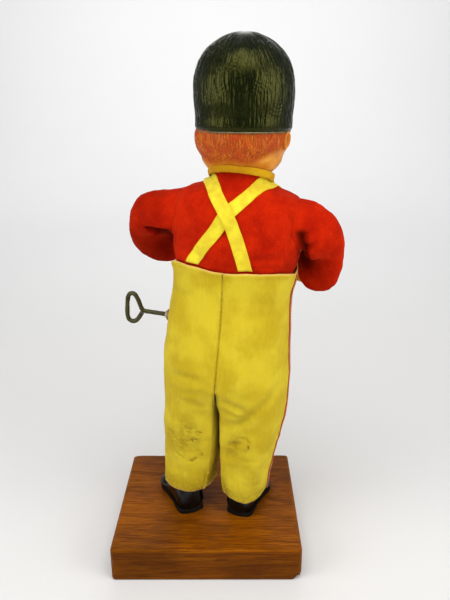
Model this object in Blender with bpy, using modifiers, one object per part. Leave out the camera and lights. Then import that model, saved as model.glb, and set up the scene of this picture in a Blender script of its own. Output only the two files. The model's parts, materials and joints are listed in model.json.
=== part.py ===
"""Clockwork toy drummer in a bearskin cap, standing on a wooden block.

Run it with: blender --background --python part.py, or from Blender's text editor.

The frame is in metres with +Z up. Its origin is the centre of the block's underside. The block's long
side lies along X. The drummer looks towards -Y, turned a little and leaning a little, as two screws hold it.
Everything above the block is placed in the drummer's own frame: z = 0 at the block's top, +X to the
drummer's left hand, -Y to the front. Empties carry that frame and the axes of all moving pieces.
"""

from math import asin, cos, hypot, pi, radians, sin, tau

import bmesh
import bpy
from mathutils import Euler, Matrix, Vector

MM = 0.001
GAP = 0.3 * MM

# --- driving dimensions -------------------------------------------------------------------------------
BASE_WIDTH, BASE_DEPTH, BASE_HEIGHT = 100 * MM, 89 * MM, 19 * MM
BASE_EDGE = 1.2 * MM

STANCE = Vector((-6 * MM, 3 * MM, BASE_HEIGHT))
STANCE_TURN = radians(-14)
STANCE_LEAN = radians(-4)

SHOE_LENGTH = 36 * MM
SHOES = {
    "left": {"heel": Vector((9.8 * MM, 13.2 * MM)), "toe_out": radians(24)},
    "right": {"heel": Vector((-18.3 * MM, 16.4 * MM)), "toe_out": radians(-15)},
}
SCREW_HEAD_R, SCREW_SHANK_R, SCREW_GRIP = 3.6 * MM, 1.7 * MM, 6 * MM

LEG_X, HIP_Z = 15.3 * MM, 84 * MM
LEG_BOTTOM = {"left": 19.2 * MM, "right": 21.4 * MM}
TIN = 0.7 * MM
BODY_A, BODY_B = 27.2 * MM, 20 * MM
NECK_Z = 186 * MM
HEAD_UPRIGHT, HEAD_TURN = radians(3.6), radians(-6)

PLATE_X, PLATE_T = 11 * MM, 1 * MM
WIND_Z = 109.8 * MM
SHOULDER_X, SHOULDER_Z = 33 * MM, 166 * MM
SWING = radians(20)
LEVER = 9.8 * MM
STROKE = LEVER * sin(SWING / 2)

DRUM_CENTRE, DRUM_R, DRUM_HEIGHT = Vector((0, -52.5 * MM, 119.5 * MM)), 19.5 * MM, 21 * MM
DRUM_TILT = radians(4)
STICK_R = 1.4 * MM

KEY_WIRE_R = 1.15 * MM
FELT, COTTON = 1.0 * MM, 0.8 * MM
STRAP_WIDTH = 6 * MM

# The clockwork train. Each wheel's place is (y, z) in the drummer's frame, and its axis is along X.
GREAT_TEETH, GREAT_MODULE = 36, 0.8 * MM
SECOND_LEAVES, SECOND_TEETH, SECOND_MODULE = 12, 32, 0.7 * MM
CRANK_LEAVES, CRANK_TEETH, CRANK_MODULE = 8, 24, 0.6 * MM
FAN_LEAVES = 8
WIND_AXIS = Vector((0, WIND_Z))
CRANK_Y = -8.9 * MM
DEPTHING = 0.12 * MM

MATERIALS = {
    "walnut": ((0.30, 0.13, 0.035), 0.45, 0.0),
    "steel": ((0.42, 0.41, 0.39), 0.35, 1.0),
    "blued_steel": ((0.09, 0.10, 0.07), 0.4, 1.0),
    "brass": ((0.72, 0.52, 0.22), 0.3, 1.0),
    "tinplate": ((0.62, 0.62, 0.60), 0.3, 1.0),
    "shoe_black": ((0.012, 0.011, 0.011), 0.2, 0.0),
    "yellow_cotton": ((0.78, 0.62, 0.10), 0.85, 0.0),
    "red_felt": ((0.62, 0.03, 0.01), 0.95, 0.0),
    "yellow_tape": ((0.86, 0.70, 0.08), 0.6, 0.0),
    "orange_braid": ((0.70, 0.16, 0.02), 0.8, 0.0),
    "moulded_head": ((0.66, 0.26, 0.09), 0.45, 0.0),
    "bearskin": ((0.012, 0.02, 0.012), 0.25, 0.0),
    "painted_arm": ((0.74, 0.42, 0.24), 0.4, 0.0),
    "drum_paint": ((0.05, 0.10, 0.32), 0.3, 0.0),
    "hoop_paint": ((0.85, 0.66, 0.10), 0.35, 0.0),
    "drum_skin": ((0.88, 0.83, 0.70), 0.6, 0.0),
    "stick_wood": ((0.75, 0.55, 0.30), 0.5, 0.0),
}


# --- scene helpers ------------------------------------------------------------------------------------
def clear_scene():
    for old in list(bpy.data.objects):
        bpy.data.objects.remove(old)


def collection(name):
    made = bpy.data.collections.new(name)
    bpy.context.scene.collection.children.link(made)
    return made


def material(name):
    found = bpy.data.materials.get(name)
    if found:
        return found
    colour, roughness, metallic = MATERIALS[name]
    made = bpy.data.materials.new(name)
    made.use_nodes = True
    shader = made.node_tree.nodes["Principled BSDF"]
    shader.inputs["Base Color"].default_value = (*colour, 1)
    shader.inputs["Roughness"].default_value = roughness
    shader.inputs["Metallic"].default_value = metallic
    made.diffuse_color = (*colour, 1)
    return made


def empty(name, parent=None, at=(0, 0, 0), turn=(0, 0, 0)):
    made = bpy.data.objects.new(name, None)
    made.empty_display_size = 5 * MM
    MODEL.objects.link(made)
    made.parent = parent
    made.location = at
    made.rotation_euler = turn
    return made


def place(obj, look, parent=None, at=(0, 0, 0), turn=(0, 0, 0)):
    """Gives a new piece its material, its parent and its place."""
    if look:
        obj.data.materials.append(material(look))
        MODEL.objects.link(obj)
    else:
        obj.hide_render = True
        obj.display_type = "WIRE"
        CUTTERS.objects.link(obj)
    obj.parent = parent
    obj.location = at
    obj.rotation_euler = turn
    return obj


def smooth(mesh, angle=35):
    mesh.shade_smooth()
    mesh.set_sharp_from_angle(angle=radians(angle))


def modifier(obj, kind, **settings):
    made = obj.modifiers.new(kind.title(), kind)
    for key, value in settings.items():
        setattr(made, key, value)
    return made


def cut(obj, *cutters):
    for cutter in cutters:
        modifier(obj, "BOOLEAN", operation="DIFFERENCE", object=cutter)


def join(obj, *others):
    """Makes one body of obj and these helper shapes."""
    for other in others:
        other.hide_render = True
        other.display_type = "WIRE"
        modifier(obj, "BOOLEAN", operation="UNION", object=other)


# --- shape helpers ------------------------------------------------------------------------------------
ALONG_X = (pi / 2, 0, pi / 2)  # turns local x, y, z to the parent's y, z, x


def mesh_object(name, bm, angle=35):
    mesh = bpy.data.meshes.new(name)
    bm.to_mesh(mesh)
    bm.free()
    smooth(mesh, angle)
    return bpy.data.objects.new(name, mesh)


def block(name, size, edge=0.0):
    """A box centred on its origin, with rounded edges if edge is given."""
    bm = bmesh.new()
    bmesh.ops.create_cube(bm, size=1)
    bmesh.ops.scale(bm, vec=size, verts=bm.verts)
    made = mesh_object(name, bm)
    if edge:
        modifier(made, "BEVEL", width=edge, segments=2, limit_method="ANGLE")
    return made


def rod(name, radius, length, sides=16):
    """A cylinder along local z, from 0 to length."""
    bm = bmesh.new()
    bmesh.ops.create_cone(
        bm, cap_ends=True, segments=sides, radius1=radius, radius2=radius, depth=length
    )
    bmesh.ops.translate(bm, vec=(0, 0, length / 2), verts=bm.verts)
    return mesh_object(name, bm)


def turned(name, profile, steps=20):
    """A solid of revolution about local z, from (radius, height) points listed top to bottom."""
    mesh = bpy.data.meshes.new(name)
    points = [(radius, 0, height) for radius, height in profile]
    edges = [(k, k + 1) for k in range(len(points) - 1)]
    if points[0] == points[-1]:
        points.pop()
        edges[-1] = (len(points) - 1, 0)
    mesh.from_pydata(points, edges, [])
    made = bpy.data.objects.new(name, mesh)
    modifier(
        made,
        "SCREW",
        steps=steps,
        render_steps=steps,
        use_merge_vertices=True,
        merge_threshold=0.00001,
    )
    return made


def loft(name, rings, closed_ends=(True, True), closed_rings=True, angle=35):
    """A skin over rings that all have the same number of points."""
    bm = bmesh.new()
    rows = [[bm.verts.new(point) for point in ring] for ring in rings]
    count = len(rows[0])
    for low, high in zip(rows, rows[1:]):
        for k in range(count if closed_rings else count - 1):
            after = (k + 1) % count
            bm.faces.new((low[k], low[after], high[after], high[k]))
    if closed_ends[0]:
        bm.faces.new(reversed(rows[0]))
    if closed_ends[1]:
        bm.faces.new(rows[-1])
    bmesh.ops.recalc_face_normals(bm, faces=bm.faces)
    return mesh_object(name, bm, angle)


def oval(a, b, z, sides=24, centre=(0, 0), start=-pi / 2, sweep=tau, power=2.3):
    """A level ring, a little squarer than an ellipse. It starts at the front and runs to the left side."""
    steps = sides if sweep >= tau else sides - 1
    ring = []
    for k in range(sides):
        angle = start + sweep * k / steps
        c, s = cos(angle), sin(angle)
        reach = (abs(c) ** power + abs(s) ** power) ** (-1 / power)
        ring.append(Vector((centre[0] + a * reach * c, centre[1] + b * reach * s, z)))
    return ring


def flat_outline(name, outlines, thickness):
    """A plate of even thickness about local z = 0, from closed outlines: the outside, then its holes."""
    curve = bpy.data.curves.new(name, "CURVE")
    curve.dimensions = "2D"
    curve.fill_mode = "BOTH"
    curve.extrude = thickness / 2
    for outline in outlines:
        spline = curve.splines.new("POLY")
        spline.points.add(len(outline) - 1)
        for point, (x, y) in zip(spline.points, outline):
            point.co = (x, y, 0, 1)
        spline.use_cyclic_u = True
    return bpy.data.objects.new(name, curve)


def wire_curve(name, points, radius, resolution=2, scale=None):
    """A round wire along points, with closed ends. scale gives each point its share of the radius."""
    curve = bpy.data.curves.new(name, "CURVE")
    curve.dimensions = "3D"
    curve.bevel_depth = radius
    curve.bevel_resolution = resolution
    curve.use_fill_caps = True
    spline = curve.splines.new("POLY")
    spline.points.add(len(points) - 1)
    for k, (point, place_at) in enumerate(zip(spline.points, points)):
        point.co = (*place_at, 1)
        point.radius = scale[k] if scale else 1
    return bpy.data.objects.new(name, curve)


def as_mesh(curve_object):
    """The curve object made a closed mesh, for a Boolean."""
    name = curve_object.name
    holder = bpy.context.scene.collection
    holder.objects.link(curve_object)
    bpy.context.view_layer.update()
    graph = bpy.context.evaluated_depsgraph_get()
    mesh = bpy.data.meshes.new_from_object(curve_object.evaluated_get(graph))
    bpy.data.objects.remove(curve_object)
    bm = bmesh.new()
    bm.from_mesh(mesh)
    bmesh.ops.remove_doubles(bm, verts=bm.verts, dist=0.000001)
    bmesh.ops.recalc_face_normals(bm, faces=bm.faces)
    bm.to_mesh(mesh)
    bm.free()
    smooth(mesh)
    return bpy.data.objects.new(name, mesh)


def smooth_path(anchors, per_span=4):
    """Points on a Catmull-Rom curve through the anchors."""
    ends = [2 * anchors[0] - anchors[1], *anchors, 2 * anchors[-1] - anchors[-2]]
    path = []
    for p0, p1, p2, p3 in zip(ends, ends[1:], ends[2:], ends[3:]):
        for k in range(per_span):
            t = k / per_span
            path.append(
                0.5
                * (
                    2 * p1
                    + (p2 - p0) * t
                    + (2 * p0 - 5 * p1 + 4 * p2 - p3) * t**2
                    + (3 * p1 - p0 - 3 * p2 + p3) * t**3
                )
            )
    return [*path, anchors[-1]]


def circle(radius, sides=16, centre=(0, 0), phase=0.0):
    return [
        (
            centre[0] + radius * cos(phase + tau * k / sides),
            centre[1] + radius * sin(phase + tau * k / sides),
        )
        for k in range(sides)
    ]


def gear_outline(teeth, module, phase, leaf=False):
    """A toothed outline with one tooth centred on the angle phase. Pinion leaves are slimmer at the tip."""
    pitch_r = teeth * module / 2
    tip, root = pitch_r + 0.9 * module, pitch_r - 1.25 * module
    half_root, half_tip = (0.27, 0.10) if leaf else (0.25, 0.11)
    outline = []
    for k in range(teeth):
        middle = phase + tau * k / teeth
        step = tau / teeth
        for radius, share in (
            (root, -half_root),
            (tip, -half_tip),
            (tip, half_tip),
            (root, half_root),
        ):
            angle = middle + share * step
            outline.append((radius * cos(angle), radius * sin(angle)))
    return outline


def ribbon(name, path, normals, width, thickness):
    """A flat tape that follows path, with its broad face square to normals."""
    rings = []
    for k, point in enumerate(path):
        along = path[min(k + 1, len(path) - 1)] - path[max(k - 1, 0)]
        out = normals[k].normalized()
        side = along.cross(out).normalized() * width / 2
        lift = side.cross(along).normalized() * thickness
        lift = lift if lift.dot(out) > 0 else -lift
        rings.append([point - side, point + side, point + side + lift, point - side + lift])
    return loft(name, rings)


# --- base and feet ------------------------------------------------------------------------------------
def shoe_point(side, forward, up=0.0):
    """A point on a shoe's middle line, forward of its heel, on the block."""
    shoe = SHOES[side]
    heading = Vector((sin(shoe["toe_out"]), -cos(shoe["toe_out"])))
    spot = shoe["heel"] + heading * forward
    return Vector((spot.x, spot.y, BASE_HEIGHT + up))


def screw_point(side):
    return shoe_point(side, 0.36 * SHOE_LENGTH)


def make_base():
    base = place(
        block("wood_base", (BASE_WIDTH, BASE_DEPTH, BASE_HEIGHT), BASE_EDGE),
        "walnut",
        at=(0, 0, BASE_HEIGHT / 2),
    )
    counterbore = 5 * MM
    for side in SHOES:
        spot = screw_point(side)
        hole = rod(f"{side}_screw_hole", SCREW_SHANK_R + 2 * GAP, 2 * BASE_HEIGHT, 12)
        recess = rod(f"{side}_screw_recess", SCREW_HEAD_R + 2 * GAP, 2 * counterbore, 16)
        place(hole, None, at=(spot.x, spot.y, -BASE_HEIGHT / 2))
        place(recess, None, at=(spot.x, spot.y, -counterbore))
        cut(base, hole, recess)
        tip = BASE_HEIGHT + SCREW_GRIP
        head_z = counterbore - GAP
        screw = turned(
            f"base_screw_{side}",
            [
                (0, tip),
                (SCREW_SHANK_R * 0.8, tip - 2 * MM),
                (SCREW_SHANK_R, tip - 4 * MM),
                (SCREW_SHANK_R, head_z),
                (SCREW_HEAD_R, head_z),
                (SCREW_HEAD_R, head_z - 1.2 * MM),
                (SCREW_HEAD_R * 0.7, head_z - 2.2 * MM),
                (0, head_z - 2.4 * MM),
            ],
            12,
        )
        place(screw, "steel", at=(spot.x, spot.y, 0))


def make_shoes():
    # Each section is its share of the length, its half width and its height.
    sections = [
        (0.00, 3.2, 13.0),
        (0.06, 5.6, 17.4),
        (0.25, 6.4, 18.2),
        (0.42, 6.2, 15.6),
        (0.60, 7.4, 9.2),
        (0.80, 8.6, 7.4),
        (0.94, 6.6, 6.4),
        (1.00, 3.6, 4.4),
    ]
    for side, shoe in SHOES.items():
        rings = []
        for share, half_width, height in sections:
            y = -share * SHOE_LENGTH
            low, wide = 0.0, half_width * MM
            top = height * MM
            rings.append(
                [
                    Vector((-wide * 0.86, y, low)),
                    Vector((wide * 0.86, y, low)),
                    Vector((wide, y, 0.18 * top)),
                    Vector((wide * 0.98, y, 0.5 * top)),
                    Vector((wide * 0.78, y, 0.82 * top)),
                    Vector((wide * 0.3, y, top)),
                    Vector((-wide * 0.3, y, top)),
                    Vector((-wide * 0.78, y, 0.82 * top)),
                    Vector((-wide * 0.98, y, 0.5 * top)),
                    Vector((-wide, y, 0.18 * top)),
                ]
            )
        body = place(
            loft(f"shoe_{side}", rings),
            "shoe_black",
            at=(shoe["heel"].x, shoe["heel"].y, BASE_HEIGHT + GAP),
            turn=(0, 0, shoe["toe_out"]),
        )
        pilot = rod(f"{side}_pilot", SCREW_SHANK_R + GAP, SCREW_GRIP + 2 * MM, 12)
        spot = screw_point(side)
        place(pilot, None, at=(spot.x, spot.y, BASE_HEIGHT - 1 * MM))
        cut(body, pilot)


# --- the tin body -------------------------------------------------------------------------------------
def make_legs(figure):
    for side, sign in (("left", 1), ("right", -1)):
        sections = [
            (LEG_BOTTOM[side], 5.6, 6.0),
            (34 * MM, 8.2, 9.0),
            (60 * MM, 10.2, 12.0),
            (HIP_Z - GAP, 11.4, 14.5),
        ]
        rings = [oval(a * MM, b * MM, z, 16, (sign * LEG_X, 0)) for z, a, b in sections]
        leg = place(loft(f"leg_{side}", rings, (False, False)), "tinplate", figure)
        modifier(leg, "SOLIDIFY", thickness=TIN, offset=-1, use_even_offset=True)


def make_hip_plate(figure):
    outline = [(p.x, p.y) for p in oval(BODY_A - 2 * TIN, BODY_B - 2 * TIN, 0, 24)]
    plate = flat_outline("hip_plate", [outline, circle(4 * MM, 12)], PLATE_T)
    place(plate, "tinplate", figure, (0, 0, HIP_Z + PLATE_T / 2))


BODY_SECTIONS = [
    (84, 1.0, 1.0),
    (120, 1.0, 1.0),
    (150, 1.0, 1.0),
    (166, 0.97, 0.94),
    (173, 0.80, 0.80),
    (178, 0.50, 0.58),
    (180, 0.34, 0.44),
]


def make_body(figure, cutters):
    """Two pressed shells that meet on the side seam, where the arm shafts and the key come out."""
    for name, start in (("body_front", pi), ("body_back", 0.0)):
        rings = []
        for z, wide, deep in BODY_SECTIONS:
            a, b = wide * BODY_A, deep * BODY_B
            inset = asin(GAP / 2 / b)
            rings.append(oval(a, b, z * MM, 15, start=start + inset, sweep=pi - 2 * inset))
        shell = place(loft(name, rings, (False, False), False), "tinplate", figure)
        modifier(shell, "SOLIDIFY", thickness=TIN, offset=-1, use_even_offset=True)
        cut(shell, *cutters)


def make_neck_post(figure):
    post = turned(
        "neck_post",
        [
            (0, 191 * MM),
            (11.2 * MM, 191 * MM),
            (11.2 * MM, 189 * MM),
            (4.2 * MM, 188.4 * MM),
            (4.2 * MM, 182 * MM),
            (8.5 * MM, 181.6 * MM),
            (8.5 * MM, 180.4 * MM),
            (0, 180.4 * MM),
        ],
        16,
    )
    place(post, "steel", figure)


# --- the clockwork ------------------------------------------------------------------------------------
def axis_at(origin, distance, y):
    """The place above origin at that distance, with that y."""
    across = y - origin.x
    return Vector((y, origin.y + (distance**2 - across**2) ** 0.5))


def centre_distance(teeth, leaves, module):
    return (teeth + leaves) * module / 2 + DEPTHING


SECOND_AXIS = axis_at(WIND_AXIS, centre_distance(GREAT_TEETH, SECOND_LEAVES, GREAT_MODULE), 5 * MM)
CRANK_AXIS = axis_at(SECOND_AXIS, centre_distance(SECOND_TEETH, CRANK_LEAVES, SECOND_MODULE), CRANK_Y)
FAN_AXIS = axis_at(CRANK_AXIS, centre_distance(CRANK_TEETH, FAN_LEAVES, CRANK_MODULE), -3.5 * MM)
PILLARS = [Vector((y * MM, z * MM)) for y, z in ((-13.5, 95), (13.5, 95), (-12.5, 150), (12.5, 150))]
SHAFT_R, BEARING_R = 1.0 * MM, 1.3 * MM
ARBOR_R, ARM_SHAFT_R, CRANK_SHAFT_R = 2.0 * MM, 1.5 * MM, 1.0 * MM


def heading(origin, target):
    """The angle from one axis to another, seen in the (y, z) plane."""
    step = target - origin
    return Vector((1, 0)).angle_signed(step) * -1


def on_axis(axis, x=0.0):
    return (x, axis.x, axis.y)


def make_motor_frame(figure):
    low, high, neck = 90 * MM, 155 * MM, 171 * MM
    wide, narrow = 16 * MM, 5.5 * MM
    shoulder = high + 5 * MM
    outside = [(-wide, low), (wide, low), (wide, high), (narrow, shoulder), (narrow, neck), (-narrow, neck)]
    outside += [(-narrow, high + 5 * MM), (-wide, high)]
    bearings = [(WIND_AXIS, ARBOR_R + GAP)]
    bearings += [(axis, BEARING_R) for axis in (SECOND_AXIS, CRANK_AXIS, FAN_AXIS)]
    bearings.append((Vector((0, SHOULDER_Z)), ARM_SHAFT_R + GAP))
    holes = [circle(radius, 12, axis) for axis, radius in bearings]
    for side, sign in (("left", 1), ("right", -1)):
        plate = flat_outline(f"motor_plate_{side}", [outside, *holes], PLATE_T)
        place(plate, "steel", figure, (sign * (PLATE_X + PLATE_T / 2), 0, 0), ALONG_X)
    length = 2 * (PLATE_X - GAP)
    for number, spot in enumerate(PILLARS, 1):
        pillar = rod(f"motor_pillar_{number}", 1.8 * MM, length, 10)
        place(pillar, "brass", figure, on_axis(spot, -length / 2), ALONG_X)


def make_wheel(name, teeth, module, phase, bore, x, thickness, holder, spokes=0):
    """A brass wheel on its arbor, with round lightening holes."""
    outlines = [gear_outline(teeth, module, phase), circle(bore, 12)]
    reach = teeth * module / 2
    for k in range(spokes):
        angle = phase + tau * k / spokes
        centre = (0.56 * reach * cos(angle), 0.56 * reach * sin(angle))
        outlines.append(circle(0.2 * reach, 10, centre))
    place(flat_outline(name, outlines, thickness), "brass", holder, (x, 0, 0), ALONG_X)


def make_arbor(name, leaves, module, phase, pinion_x, pinion_length, span, radius, holder):
    """A steel arbor with its pinion cut on it. span is its (lowest, highest) x."""
    shaft = rod(name, radius, span[1] - span[0], 12)
    place(shaft, "steel", holder, (span[0], 0, 0), ALONG_X)
    leaf = as_mesh(flat_outline(f"{name}_leaves", [gear_outline(leaves, module, phase, True)], pinion_length))
    place(leaf, None, holder, (pinion_x, 0, 0), ALONG_X)
    join(shaft, leaf)


def gap_phase(origin, target, leaves):
    """Turns a pinion at target so that a gap faces the driving wheel's tooth on the line of centres."""
    return heading(target, origin) + pi / leaves


def make_train(figure):
    axes = {
        "great_wheel_axis": WIND_AXIS,
        "winding_axis": WIND_AXIS,
        "second_axis": SECOND_AXIS,
        "crank_axis": CRANK_AXIS,
        "fan_axis": FAN_AXIS,
    }
    holders = {name: empty(name, figure, on_axis(axis)) for name, axis in axes.items()}
    great_x, second_x, third_x = -8.3 * MM, -4.0 * MM, 2.0 * MM
    thick, reach = 1.3 * MM, PLATE_X + PLATE_T

    great = holders["great_wheel_axis"]
    phase = heading(WIND_AXIS, SECOND_AXIS)
    make_wheel("great_wheel", GREAT_TEETH, GREAT_MODULE, phase, ARBOR_R + GAP, great_x, thick, great, 5)
    make_click(figure, great_x + thick / 2)

    winding = holders["winding_axis"]
    key_end = 36 * MM
    arbor = rod("winding_arbor", ARBOR_R, key_end + reach, 14)
    place(arbor, "steel", winding, (-reach, 0, 0), ALONG_X)
    make_ratchet(winding)
    make_key(winding, key_end)

    second = holders["second_axis"]
    phase = gap_phase(WIND_AXIS, SECOND_AXIS, SECOND_LEAVES)
    span = (-reach, reach)
    make_arbor(
        "second_arbor", SECOND_LEAVES, GREAT_MODULE, phase, great_x, 2.2 * MM, span, SHAFT_R, second
    )
    phase = heading(SECOND_AXIS, CRANK_AXIS)
    hole = SHAFT_R + GAP
    make_wheel("second_wheel", SECOND_TEETH, SECOND_MODULE, phase, hole, second_x, 1.2 * MM, second, 5)

    crank = holders["crank_axis"]
    phase = gap_phase(SECOND_AXIS, CRANK_AXIS, CRANK_LEAVES)
    span = (-reach - 2 * MM, reach + 2 * MM)
    make_arbor(
        "crank_shaft", CRANK_LEAVES, SECOND_MODULE, phase, second_x, 2.2 * MM, span, CRANK_SHAFT_R, crank
    )
    phase = heading(CRANK_AXIS, FAN_AXIS)
    make_wheel("crank_wheel", CRANK_TEETH, CRANK_MODULE, phase, SHAFT_R + GAP, third_x, 1.2 * MM, crank, 4)
    for side, sign in (("left", 1), ("right", -1)):
        make_crank_disc(side, sign, crank)

    fan = holders["fan_axis"]
    phase = gap_phase(CRANK_AXIS, FAN_AXIS, FAN_LEAVES)
    span = (-reach, reach)
    make_arbor("fan_arbor", FAN_LEAVES, CRANK_MODULE, phase, third_x, 2.2 * MM, span, SHAFT_R, fan)
    make_fan(fan)
    make_mainspring(figure)


RATCHET_TEETH, RATCHET_R = 12, 5.2 * MM


def make_ratchet(winding):
    outline = []
    for k in range(RATCHET_TEETH):
        start = tau * k / RATCHET_TEETH
        outline.append((RATCHET_R * cos(start), RATCHET_R * sin(start)))
        outline.append((0.78 * RATCHET_R * cos(start), 0.78 * RATCHET_R * sin(start)))
    wheel = flat_outline("ratchet_wheel", [outline, circle(ARBOR_R + GAP, 14)], 1.2 * MM)
    place(wheel, "steel", winding, (-6.4 * MM, 0, 0), ALONG_X)


CLICK_PIVOT = WIND_AXIS + Vector((9.2 * MM, -1.5 * MM))


def make_click(figure, wheel_face):
    """The pawl on the great wheel. It is drawn just lifted clear of the ratchet's teeth."""
    holder = empty("click_axis", figure, on_axis(CLICK_PIVOT))
    outline = [
        (1.4 * MM, -1.0 * MM),
        (1.4 * MM, 1.0 * MM),
        (-0.6 * MM, 3.6 * MM),
        (-3.0 * MM, 5.2 * MM),
        (-3.9 * MM, 3.9 * MM),
        (-1.9 * MM, 0.9 * MM),
        (-1.2 * MM, -1.0 * MM),
    ]
    click = flat_outline("click", [outline], 1.0 * MM)
    place(click, "steel", holder, (wheel_face + GAP + 0.5 * MM, 0, 0), ALONG_X)


def make_key(winding, key_end):
    """The wire key: a shaft bent round into a loop whose end comes back to the shaft."""
    junction = 49.6 * MM
    # (x beyond the junction, height above the axis) of the loop's wire
    loop = [
        (-2.6, 0.0),
        (-0.6, 0.5),
        (0.6, 2.0),
        (1.7, 4.6),
        (3.2, 7.4),
        (4.5, 8.8),
        (5.8, 9.2),
        (7.3, 8.5),
        (8.2, 6.9),
        (8.6, 3.8),
        (8.7, -1.0),
        (8.4, -4.4),
        (7.4, -6.3),
        (5.3, -7.0),
        (3.1, -5.9),
        (1.9, -4.2),
        (1.1, -2.6),
    ]
    anchors = [Vector((junction + x * MM, 0, z * MM)) for x, z in loop]
    path = [Vector((key_end + GAP, 0, 0)), *smooth_path(anchors, 2)]
    key = as_mesh(wire_curve("wind_key", path, KEY_WIRE_R, 2))
    place(key, "blued_steel", winding)


def make_crank_disc(side, sign, crank):
    """A disc on the crank shaft's end, with the pin that drives one arm. The pins stand half a turn apart."""
    face = PLATE_X + PLATE_T + 0.5 * MM
    outlines = [circle(4.4 * MM, 16), circle(CRANK_SHAFT_R + GAP, 10)]
    disc = as_mesh(flat_outline(f"crank_disc_{side}", outlines, 1.2 * MM))
    place(disc, "brass", crank, (sign * (face + 0.6 * MM), 0, 0), ALONG_X)
    pin = rod(f"{side}_crank_pin", 0.6 * MM, 1.6 * MM, 8)
    height = sign * STROKE
    place(pin, None, crank, (sign * (face + 0.8 * MM), 0, height), (pi / 2, 0, sign * pi / 2))
    join(disc, pin)


def make_fan(fan):
    """The air brake: two vanes on a hub."""
    outer, inner, length = 1.9 * MM, SHAFT_R + GAP, 4 * MM
    section = [(outer, length), (outer, 0), (inner, 0), (inner, length), (outer, length)]
    hub = turned("fan", section, 12)
    place(hub, "brass", fan, (5 * MM, 0, 0), ALONG_X)
    for number, sign in enumerate((1, -1)):
        vane = block(f"fan_vane_{number}", (3.2 * MM, 4.2 * MM, 0.5 * MM))
        place(vane, None, fan, (7 * MM, sign * 3.7 * MM, 0), (0, 0, 0))
        join(hub, vane)


def make_mainspring(figure):
    """A flat strip wound in a spiral round the arbor, hooked to the frame at its outer end."""
    turns, per_turn = 5, 16
    inner, outer, strip = 3.2 * MM, 11.6 * MM, 0.35 * MM
    height, x = 9.5 * MM, 3.4 * MM
    rings = []
    for k in range(turns * per_turn + 1):
        share = k / (turns * per_turn)
        angle = tau * turns * share
        radius = inner + (outer - inner) * share
        out = Vector((0, cos(angle), sin(angle)))
        near, far = out * radius, out * (radius + strip)
        half = Vector((height / 2, 0, 0))
        rings.append([near - half, near + half, far + half, far - half])
    spring = loft("mainspring", rings)
    place(spring, "blued_steel", figure, on_axis(WIND_AXIS, x))


def make_connecting_rods(figure):
    """The rods from the crank pins to the arm levers. Each rod's lower eye stays clear of its crank pin."""
    x = PLATE_X + PLATE_T + 4.1 * MM
    for side, sign in (("left", 1), ("right", -1)):
        offset = sign * STROKE
        low, high = CRANK_AXIS.y + offset, SHOULDER_Z + offset
        y_low, y_high = CRANK_Y, -LEVER * cos(SWING / 2)
        eye, hole = 2.3 * MM, 1.3 * MM
        turns = [k * pi / 6 for k in range(9)]
        upper = [(y_high + eye * cos(a), high + eye * sin(a)) for a in (turn - pi / 6 for turn in turns)]
        lower = [(y_low + eye * cos(a), low + eye * sin(a)) for a in (turn + 5 * pi / 6 for turn in turns)]
        holes = [circle(hole, 10, (y_high, high)), circle(hole, 10, (y_low, low))]
        bar = flat_outline(f"connecting_rod_{side}", [upper + lower, *holes], 1.0 * MM)
        place(bar, "steel", figure, (sign * x, 0, 0), ALONG_X)


# --- the arms -----------------------------------------------------------------------------------------
ELBOW = Vector((44.5 * MM, -1 * MM, 148.5 * MM))
HAND = Vector((27 * MM, -38 * MM, 131 * MM))
STICK_TIP = Vector((7.5 * MM, -52 * MM, 121.9 * MM))


def at_side(point, sign):
    return Vector((sign * point.x, point.y, point.z))


def make_arm_shaft(side, sign, pivot):
    """The shaft that carries an arm, with the lever and pin that its connecting rod drives."""
    start = PLATE_X - 1.5 * MM
    shaft = rod(f"arm_shaft_{side}", ARM_SHAFT_R, SHOULDER_X + 0.8 * MM - start, 12)
    turn = (pi / 2, 0, sign * pi / 2)
    place(shaft, "steel", pivot, (sign * (start - SHOULDER_X), 0, 0), turn)
    lever_x = PLATE_X + PLATE_T + 5.4 * MM
    half, reach = 1.7 * MM, LEVER + 1.6 * MM
    outline = [(half, -half), (half, half), (-reach, 1.3 * MM), (-reach, -1.3 * MM)]
    lever = as_mesh(flat_outline(f"{side}_lever", [outline], 1.2 * MM))
    level = SWING / 2
    place(lever, None, pivot, (sign * (lever_x + 0.6 * MM - SHOULDER_X), 0, 0), ALONG_X)
    lever.rotation_euler = (Matrix.Rotation(level, 4, "X") @ Euler(ALONG_X).to_matrix().to_4x4()).to_euler()
    pin = rod(f"{side}_lever_pin", 0.85 * MM, 2.6 * MM, 10)
    spot = Vector((sign * (lever_x + 0.6 * MM - SHOULDER_X), -LEVER * cos(level), -LEVER * sin(level)))
    place(pin, None, pivot, spot, (pi / 2, 0, -sign * pi / 2))
    join(shaft, lever, pin)


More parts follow.
